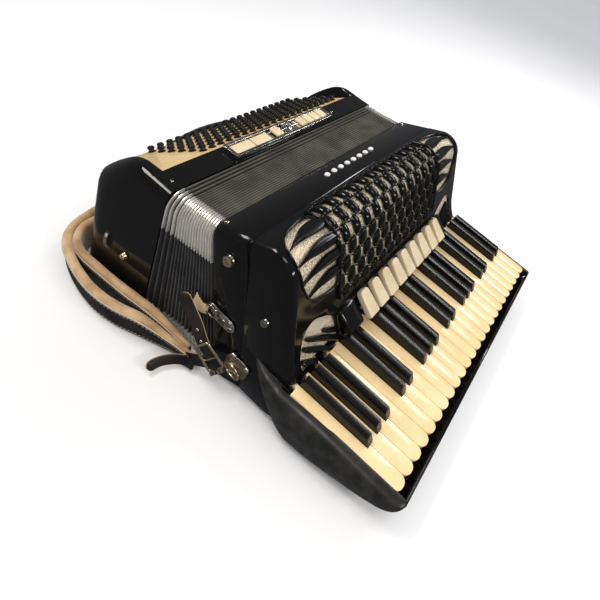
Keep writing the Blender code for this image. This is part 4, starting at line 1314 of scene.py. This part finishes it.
def strap_section(station):
    """Padded cross-section: flat leather outside, a suede roll over the top and down the inside."""
    here, outward, thick, height, _ = station
    t = thick / 2
    shape = [(t * 0.80, 0.0006), (t, 0.0030), (t + 0.0006, height * 0.45), (t, height - t * 1.30),
             (t * 1.06, height - t * 1.10), (t * 0.92, height - t * 0.55),
             (t * 0.58, height - t * 0.16), (t * 0.10, height), (-t * 0.40, height - t * 0.10),
             (-t * 0.82, height - t * 0.42), (-t * 1.02, height - t * 1.00),
             (-t * 1.10, height * 0.5), (-t * 0.98, 0.0060), (-t * 0.70, 0.0006)]
    return [here + outward * a + Vector((0, 0, b)) for a, b in shape]


def outside_line(stations, lift):
    """A line just proud of a strap's leather face, at a height for each thickness and height."""
    return [here + outward * (thick / 2 + 0.0004) + Vector((0, 0, lift(thick, height)))
            for here, outward, thick, height, _ in stations]


def stitch_row(line):
    """Short threads along a line."""
    length, pitch, radius = 0.0030, 0.0048, 0.00035
    threads = []
    start = None
    for before, after in zip(line, line[1:]):
        span = (after - before).length
        along = (after - before) / span
        place = 0.0
        while place < span:
            if start is None:
                start = before + along * place
                place += length
            else:
                end = before + along * min(place, span)
                threads.append(tube([start, end], radius, "thread", 4))
                start = None
                place += pitch - length
        start = None
    return threads


def shoulder_strap(index, half):
    """One padded strap with its piping and two rows of stitching."""
    stations = strap_stations(half)
    work = loft([strap_section(station) for station in stations])
    work.faces.index_update()
    for face in work.faces:
        if face.index < SECTION_POINTS * (len(stations) - 1):
            face.material_index = 0 if face.index % SECTION_POINTS in LEATHER_SIDES else 1
    body = from_bmesh(work, "strap_pad_%d" % index, "leather", "suede", smooth=60)
    subdivide = body.modifiers.new("soft", 'SUBSURF')
    subdivide.levels = 1
    smoothed(applied(body), 60)
    body.name = "strap_pad_%d" % index
    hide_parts("shoulder_strap_%d" % index)
    trims = [tube(outside_line(stations, lambda t, h: h - t * 0.60), 0.0009, "thread", 6)]
    trims += stitch_row(outside_line(stations, lambda t, h: h - t * 0.60 - 0.0042))
    trims += stitch_row(outside_line(stations, lambda t, h: 0.0060))
    edging = smoothed(merged(trims, "strap_trim_%d" % index), 60)
    stretch(body, "suede")
    stretch(edging, "leather")


def ribbon(points, normals, width, thick, finishes=("leather", "suede"), round_end=True):
    """A flat strap along points, with a width across and a rounded tip, edges in a second finish."""
    sections = []
    count = len(points)
    for index, here in enumerate(points):
        before, after = points[max(index - 1, 0)], points[min(index + 1, count - 1)]
        along = (after - before).normalized()
        normal = (normals[index] - along * normals[index].dot(along)).normalized()
        across = along.cross(normal)
        half = width / 2
        left = (points[-1] - here).length
        if round_end and left < half:
            half = max(0.0006, math.sqrt(max(0.0, half * half - (half - left) ** 2)))
        t = thick / 2
        shape = [(-half, -t * 0.7), (-half, t * 0.7), (-half * 0.90, t), (half * 0.90, t),
                 (half, t * 0.7), (half, -t * 0.7), (half * 0.90, -t), (-half * 0.90, -t)]
        sections.append([here + across * a + normal * b for a, b in shape])
    work = loft(sections)
    work.faces.index_update()
    for face in work.faces:
        if face.index < 8 * (count - 1):
            face.material_index = 1 if face.index % 8 in (0, 4) else 0
    return from_bmesh(work, "ribbon", *finishes, smooth=35)


def rounded3(corners, radius):
    """A closed line through corners in space, with each corner rounded."""
    made = []
    for index, corner in enumerate(corners):
        made += roll(corner, corners[index - 1], corners[(index + 1) % len(corners)], radius)
    return made


# Beside the chin corner, in the world: the billet that stands up, its buckle, and the tail end.
BILLET = ((0.0480, -0.2475, 0.0300), (0.0340, -0.2500, 0.0460), (0.0230, -0.2515, 0.0600),
          (0.0120, -0.2500, 0.0780), (-0.0030, -0.2470, 0.0910), (-0.0170, -0.2440, 0.1010))
BUCKLE = ((0.0194, -0.2582, 0.0520), (0.0294, -0.2497, 0.0615), (0.0522, -0.2460, 0.0355),
          (0.0402, -0.2545, 0.0225))
CHAPE = ((0.0060, -0.2535, 0.0130), (0.0220, -0.2530, 0.0240), (0.0380, -0.2500, 0.0330),
         (0.0480, -0.2485, 0.0330))
TAIL = ((0.0180, -0.2560, 0.0110), (0.0060, -0.2580, 0.0110), (-0.0030, -0.2640, 0.0110),
        (-0.0105, -0.2730, 0.0105), (-0.0150, -0.2830, 0.0100), (-0.0165, -0.2950, 0.0095))
RIVETS = ((0.0150, -0.2518, 0.0735), (0.0225, -0.2530, 0.0610))
RIVET = ((0, 0.0012), (0.0014, 0.0009), (0.0021, 0.0), (0.0021, -0.0006))
KEEPER = (0.0070, -0.2560, 0.0125)
BILLET_NORMAL = Vector((0.35, -0.85, 0.45))


def buckle():
    """The buckle's frame, its bar, and a roller in four lengths."""
    corners = [Vector(p) for p in BUCKLE]
    bar = [corners[0] * 0.42 + corners[3] * 0.58, corners[1] * 0.42 + corners[2] * 0.58]
    pieces = [tube(rounded3(corners, 0.003), 0.0019, "brass", 10, closed=True), tube(bar, 0.0011, "brass")]
    reach = (corners[2] - corners[3]).normalized() * 0.0013
    for share in (0.15, 0.40, 0.65, 0.90):
        middle = corners[3].lerp(corners[2], share) + Vector((0.0020, -0.0010, -0.0030))
        pieces.append(tube([middle - reach, middle + reach], 0.0030, "brass", 12))
    return pieces


def strap_tail():
    """The strap's loose end, curling over the ground, with ribs pressed into its tip."""
    tail = spline_points(TAIL, 40)
    outward = []
    for index in range(40):
        along = (tail[min(index + 1, 39)] - tail[max(index - 1, 0)]).normalized()
        outward.append(Vector((-0.80 * along.y, 0.80 * along.x, 0.55)).normalized())
    pieces = [ribbon(tail, outward, 0.0125, 0.0034)]
    for index in range(22, 38, 2):
        here, normal = tail[index], outward[index]
        across = (tail[index + 1] - tail[index - 1]).normalized().cross(normal)
        for face in (1, -1):
            rib = [here + normal * 0.0018 * face + across * reach for reach in (-0.0044, 0.0, 0.0044)]
            pieces.append(tube(rib, 0.0005, "leather", 5))
    return pieces


def buckle_group():
    """Buckle, keeper, standing billet and curling tail beside the chin corner."""
    pieces = [ribbon(spline_points(BILLET, 26), [BILLET_NORMAL] * 26, 0.0135, 0.0026)]
    pieces += buckle()
    for place in RIVETS:
        seat = facing(Vector(place) + BILLET_NORMAL * 0.0008, BILLET_NORMAL)
        pieces.append(moved(turned(RIVET, 12, "brass"), seat))
    pieces.append(ribbon(spline_points(CHAPE, 16), [BILLET_NORMAL] * 16, 0.0155, 0.0034, round_end=False))
    pieces += strap_tail()
    keeper = [Vector(KEEPER) + Vector((0.0010, 0.0042, 0)) * a + Vector((0, 0, 0.0088)) * b
              for a, b in box_outline(-1, -1, 1, 1)]
    pieces.append(tube(rounded3(keeper, 0.002), 0.0013, "leather", closed=True))
    group = merged(pieces, "buckle_group")
    ride(smoothed(group, 50), "treble", "leather")


def end_seat(x, z, rise=0.0, side=-1):
    """A frame on the treble casing's end at treble x and z, whose Z looks out of it."""
    place = TREBLE @ Vector((x, side * (half_length(-z) + 0.0008 + rise), z))
    return facing(place, TREBLE.to_3x3() @ Vector((0, side, END_DRAFT)).normalized())


def screw(radius, dome, finish="chrome"):
    """A domed screw head with a slot across it."""
    head = turned([(0, dome), (radius * 0.5, dome * 0.86), (radius * 0.85, dome * 0.5), (radius, 0),
                   (radius, -0.0006)], 16, finish)
    slot = box_outline(-radius * 1.2, -radius * 0.14, radius * 1.2, radius * 0.14)
    return smoothed(cut(head, slab(slot, dome * 0.45, dome * 2, finish)), 40)


# A turned stud as shares of its radius and height: flange, neck, and a rim round a sunk screw.
STUD = ((0, 0.55), (0.30, 0.60), (0.42, 0.45), (0.52, 0.92), (0.74, 1), (0.90, 0.80), (0.86, 0.45),
        (1, 0.25), (1.04, 0))


def ring_stud(radius, height, finish):
    """A turned stud: flange, neck, and a rolled rim round a sunk screw."""
    profile = [(radius * out, height * up) for out, up in STUD]
    return turned(profile + [(radius, -0.0006)], 24, finish)


def stadium(a, b, radius):
    """A rounded strip between two plan points."""
    steps = 8
    a, b = Vector(a), Vector(b)
    heading = math.degrees(math.atan2((b - a).y, (b - a).x))
    near = arc(b.x, b.y, radius, heading - 90, heading + 90, steps)
    return near + arc(a.x, a.y, radius, heading + 90, heading + 270, steps)


LOOP = ((-0.0140, -0.0005, 0.0030), (-0.0190, 0.0000, 0.0065), (-0.0260, 0.0015, 0.0060),
        (-0.0330, 0.0030, 0.0030))
LOWER_PLATE = ((-0.0150, -0.0075), (-0.0080, -0.0130), (0.0030, -0.0140), (0.0110, -0.0095),
               (0.0140, 0.0010), (0.0115, 0.0105), (0.0030, 0.0125), (-0.0080, 0.0120),
               (-0.0150, 0.0070))


def upper_anchor():
    """A plate with three screws, a ring, and the strap's stitched loop."""
    plate = slab(stadium((-0.0105, 0.0010), (0.0165, -0.0035), 0.0080), 0.0, 0.0018, "chrome")
    pieces = [bevelled(plate, 0.0007, 2, 50)]
    for x, y in ((0.0185, -0.0058), (0.0170, 0.0012), (0.0085, -0.0020)):
        pieces.append(moved(screw(0.0022, 0.0015), Matrix.Translation((x, y, 0.0018))))
    ring = [(0.0078 * math.cos(t) - 0.0085, 0.0078 * math.sin(t) + 0.0015, 0.0044 + 0.0010 * math.sin(t))
            for t in full_turn(28)]
    pieces.append(tube(ring, 0.0015, "chrome", closed=True))
    upright = [Vector((0, 0, 1))] * 12
    pieces.append(ribbon(spline_points(LOOP, 12), upright, 0.0150, 0.0030, ("suede", "leather"), False))
    for row in (-0.0055, 0.0055):
        for step in range(5):
            start = Vector((-0.0170 - step * 0.0032, row + 0.0018 + step * 0.0009,
                            0.0082 - step * 0.0006))
            pieces.append(tube([start, start + Vector((-0.0018, 0.0005, 0))], 0.0004, "thread", 4))
    return [moved(piece, end_seat(0.0120, -0.0975)) for piece in pieces]


def lower_anchor():
    """A cast plate with two screws and a link."""
    plate = slab(rounded(LOWER_PLATE, 0.005), 0.0, 0.0026, "old_brass")
    pieces = [bevelled(plate, 0.0012, 3, 50)]
    for x, y in ((-0.0075, 0.0110), (0.0110, 0.0065)):
        pieces.append(moved(screw(0.0040, 0.0030), Matrix.Translation((x, y, 0.0020))))
    link = [(-0.0030 + 0.0105 * math.cos(t), -0.0060 + 0.0062 * math.sin(t), 0.0040 + 0.002 * math.cos(t))
            for t in full_turn(24)]
    pieces.append(tube(link, 0.0012, "brass", closed=True))
    seat = end_seat(0.0410, -0.1540) @ Matrix.Diagonal((1.15, 1.15, 1.15, 1))
    return [moved(piece, seat) for piece in pieces]


def brackets():
    """Both plated strap anchors at the chin corner, with their rings, screws and strap loop."""
    whole = merged(upper_anchor() + lower_anchor(), "strap_anchors")
    ride(smoothed(whole, 50), "treble", "chrome", "strap_bracket")


GEM = ((0, 0.0024), (0.0022, 0.0022), (0.0036, 0.0012), (0.0040, 0.0), (0.0040, -0.0006))
GEM_COUNT = 8
GEM_PITCH = 0.0156


def fittings():
    """Studs, ring screws and the row of faceted studs on the treble casing's front."""
    pieces = [moved(ring_stud(0.0066, 0.0056, "brass"), end_seat(0.0250, -0.0274, -0.0008)),
              moved(ring_stud(0.0048, 0.0040, "chrome"), end_seat(0.0736, -0.0777, -0.0010)),
              moved(ring_stud(0.0066, 0.0056, "brass"), end_seat(0.0250, -0.0274, -0.0008, 1))]
    front = TREBLE.to_3x3() @ Vector((0, 0, 1))
    for y in (-0.1990, 0.1990):
        seat = facing(TREBLE @ Vector((0.0060, y, 0)), front, (1, 0, 0))
        pieces.append(moved(screw(0.0024, 0.0014, "brass"), seat))
    for index in range(GEM_COUNT):
        gem = turned(GEM, 8, "gem")
        gem.data.shade_flat()
        place = TREBLE @ Vector((0.0215, -0.0410 + GEM_PITCH * index, 0.0002))
        pieces.append(moved(gem, facing(place, front, (1, 0, 0))))
    ride(merged(pieces, "treble_fittings"), "treble", "chrome")
    studs = []
    for side in (-1, 1):
        outward = Vector((0, side, END_DRAFT)).normalized()
        place = Vector((-0.1280, side * half_length(FRONT_Z - 0.0640), 0.0640))
        studs.append(moved(ring_stud(0.0048, 0.0046, "brass"), facing(place, outward)))
    bass_front = (math.sin(BASS_RAD), 0, math.cos(BASS_RAD))
    for left, y in ((0.0130, -0.1960), (0.0140, 0.1150)):
        x, z = on_bass_front(left)
        studs.append(moved(screw(0.0022, 0.0013), facing((x, y, z), bass_front, (1, 0, 0))))
    ride(merged(studs, "bass_fittings"), "bass", "chrome")


# ---- hand strap, wheel and air button --------------------------------------------------------
STRAP_Z = (0.058, 0.118)            # lower and upper edge of the hand strap
STRAP_LEAN = 0.155                  # it leans with the wall, by this much for each metre of height
STRAP_HALF = 0.160
HAND_THICK = 0.0025                 # half its thickness
HAND_STEPS = 60


def hand_rise(share):
    """A place on the hand strap's height, as a shift from its line on the ground."""
    rise = (STRAP_Z[1] - STRAP_Z[0]) * share
    return Vector((rise * STRAP_LEAN, 0, STRAP_Z[0] + rise))


def hand_section(stations, index):
    """The hand strap's padded cross-section at one station."""
    here = stations[index]
    along = (stations[min(index + 1, HAND_STEPS)] - stations[max(index - 1, 0)]).normalized()
    out = Vector((-abs(along.y), along.x * (1 if along.y > 0 else -1), 0))
    swell = 1 + 0.5 * smoothstep(1 - abs(here.y) / STRAP_HALF, 0.05, 0.4)
    shape = [(-1, 0.10), (-1.2 * swell, 0.5), (-1, 0.90), (-0.4, 0.985), (0.4, 1.0), (0.9, 0.94),
             (swell, 0.70), (swell * 1.1, 0.5), (swell, 0.30), (0.9, 0.06), (0.4, 0.0), (-0.4, 0.015)]
    return [here + out * (HAND_THICK * a) + hand_rise(b) for a, b in shape]


def hand_strap():
    """Padded leather arch over the CAD strap's line, with stitched edges and screwed ends."""
    stations = []
    for index in range(HAND_STEPS + 1):
        share = 2 * index / HAND_STEPS - 1
        arch = 0.024 * math.cos(share * math.pi / 2) ** 2
        stations.append(Vector((-0.2178 - arch, STRAP_HALF * share, 0)))
    sections = [hand_section(stations, index) for index in range(HAND_STEPS + 1)]
    sides = len(sections[0])
    work = loft(sections)
    work.faces.index_update()
    for face in work.faces:
        if face.index < sides * HAND_STEPS:
            face.material_index = 1 if face.index % sides in (0, 1) else 0
    strap = from_bmesh(work, "hand_strap", "leather", "suede", smooth=60)
    threads = []
    for share in (0.09, 0.91):
        shift = hand_rise(share) - Vector((HAND_THICK * 1.05, 0, 0))
        for a, b in list(zip(stations, stations[1:]))[1:-1]:
            for start in (0.15, 0.65):
                line = [a.lerp(b, start) + shift, a.lerp(b, start + 0.33) + shift]
                threads.append(tube(line, 0.0004, "thread", 4))
    whole = smoothed(merged([strap] + threads, "hand_strap"), 60)
    ride(whole, "bass", "leather", "bass_strap")
    screws = []
    for side in (-1, 1):
        for z in (0.068, 0.108):
            place = Vector((-0.2222 + (z - STRAP_Z[0]) * STRAP_LEAN, side * 0.1530, z))
            screws.append(moved(screw(0.0036, 0.0018), facing(place, (-1, 0, 0.15))))
    ride(merged(screws, "hand_strap_screws"), "bass", "chrome")


WHEEL_PLACE = (-0.158, -0.2205, 0.067)
WHEEL_RADII = (0.0150, 0.0155)      # at the knurl's valleys and crests
WHEEL_TEETH = 60
BUTTON_PLACE = (-0.2040, -0.1750, 0.105)
AIR_RADIUS = 0.0075


def thumbwheel():
    """Knurled wheel that tightens the hand strap."""
    sections = []
    for step, angle in enumerate(full_turn(WHEEL_TEETH * 2)):
        radius = WHEEL_RADII[step % 2]
        shape = [(0.0022, -0.0025), (radius - 0.0008, -0.0025), (radius, -0.0018), (radius, 0.0018),
                 (radius - 0.0008, 0.0025), (0.0022, 0.0025)]
        sections.append([(h, r * math.cos(angle), r * math.sin(angle)) for r, h in shape])
    wheel = from_bmesh(loft(sections, closed_path=True), "strap_wheel", "chrome", smooth=25)
    moved(wheel, Matrix.Translation(WHEEL_PLACE))
    ride(wheel, "strap_wheel", "chrome", "bass_strap_wheel")


def air_button():
    """Ribbed button that lets the bellows breathe."""
    shape = [(0, 0.0160), (0.7, 0.0156), (0.93, 0.0148), (1, 0.0134)]
    for ring in range(4):
        level = 0.0120 - ring * 0.0016
        shape += [(0.93, level), (1, level - 0.0008)]
    shape += [(1, -0.0100), (0, -0.0100)]
    button = turned([(AIR_RADIUS * out, up) for out, up in shape], 32, "button")
    moved(button, facing(BUTTON_PLACE, (-1, 0, 0)))
    button.name = "air_valve_button"
    ride(button, "air_button", "button", "air_button")


# ---- carried-over CAD nodes ------------------------------------------------------------------
CARRIED = {"key_axle": "steel", "treble_reed_block": "wood", "bass_reed_block": "wood"}


def carried():
    """Give the CAD nodes that stay their detailed materials."""
    for node, finish in CARRIED.items():
        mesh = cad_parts[node].data
        mesh.materials.clear()
        mesh.materials.append(MAT[finish])


# ---- camera, light and floor -----------------------------------------------------------------
CAMERA_PLACE = (0.2073, -0.4695, 0.4536)
CAMERA_RIGHT = (0.7825, 0.5805, 0.2250)
CAMERA_FORWARD = (-0.2675, 0.6398, -0.7205)
WHITE = (1, 1, 1)
# Name, place, target, size in metres, power in watts and colour.
LIGHTS = (
    ("key_light", (-0.9, -0.3, 1.6), (0.05, 0, 0.1), (0.7, 0.3), 11, (1.0, 0.94, 0.86)),
    ("back_light", (0.35, 1.5, 1.3), (0, 0, 0.1), (1.3, 0.14), 12, WHITE),
    ("side_light", (1.5, -0.2, 1.0), (0.1, 0, 0.1), (0.9, 0.14), 8, (1.0, 0.96, 0.90)),
    ("top_light", (0.30, -0.62, 1.75), (0.15, -0.22, 0.05), (0.50, 0.50), 5, (1.0, 0.97, 0.92)))
FLOOR_REACH = 9.0
SKY_LEVELS = (0.70, 0.14)           # the surroundings' strength, and what reflections see of it


def camera():
    """The photograph's view: a wide lens close above the low-note corner."""
    data = bpy.data.cameras.new("camera")
    data.lens = 26.07
    data.sensor_width = 36
    obj = placed("camera", data)
    right = Vector(CAMERA_RIGHT).normalized()
    forward = Vector(CAMERA_FORWARD).normalized()
    up = right.cross(forward).normalized()
    right = forward.cross(up)
    rotation = Matrix((right, up, -forward)).transposed().to_4x4()
    obj.matrix_world = Matrix.Translation(CAMERA_PLACE) @ rotation
    bpy.context.scene.camera = obj


def area(name, place, target, size, power, colour):
    """A soft rectangular light aimed at a point."""
    data = bpy.data.lights.new(name, 'AREA')
    data.shape = 'RECTANGLE'
    data.size, data.size_y = size
    data.energy = power
    data.color = colour
    obj = placed(name, data)
    aim = (Vector(target) - Vector(place)).to_track_quat('-Z', 'Y')
    obj.matrix_world = Matrix.Translation(place) @ aim.to_matrix().to_4x4()


def pale_floor():
    """Plain floor that the object's gloss doesn't mirror."""
    sides = [[(x, y, 0) for y in (-FLOOR_REACH, FLOOR_REACH)] for x in (-FLOOR_REACH, FLOOR_REACH)]
    floor = from_bmesh(loft(sides, closed_ring=False), "floor")
    paint = Shader("floor_paint", (0.90, 0.90, 0.90), 0.75)
    paint.colour(paint.noise(3, 2), (0.89, 0.89, 0.89), (0.91, 0.91, 0.91))
    floor.data.materials.append(paint.material)
    floor.visible_glossy = False


def surroundings():
    """Pale surroundings, darker where a glossy surface reflects them."""
    world = bpy.data.worlds.new("surroundings")
    bpy.context.scene.world = world
    world.use_nodes = True
    tree = world.node_tree
    sky = tree.nodes["Background"]
    sky.inputs["Color"].default_value = (0.95, 0.96, 1.0, 1)
    rays = tree.nodes.new("ShaderNodeLightPath")
    level = tree.nodes.new("ShaderNodeMapRange")
    level.inputs["To Min"].default_value, level.inputs["To Max"].default_value = SKY_LEVELS
    tree.links.new(rays.outputs["Is Glossy Ray"], level.inputs["Value"])
    tree.links.new(level.outputs["Result"], sky.inputs["Strength"])


def studio():
    """Plain pale floor, pale surroundings and four soft lights."""
    pale_floor()
    surroundings()
    for light in LIGHTS:
        area(*light)
    bpy.context.scene.view_settings.view_transform = 'Standard'


treble_casing()
grille()
keys()
switches()
bellows()
bass_side()
shoulder_strap(1, OUTER_STRAP)
shoulder_strap(2, INNER_STRAP)
buckle_group()
brackets()
fittings()
hand_strap()
thumbwheel()
air_button()
carried()
camera()
studio()
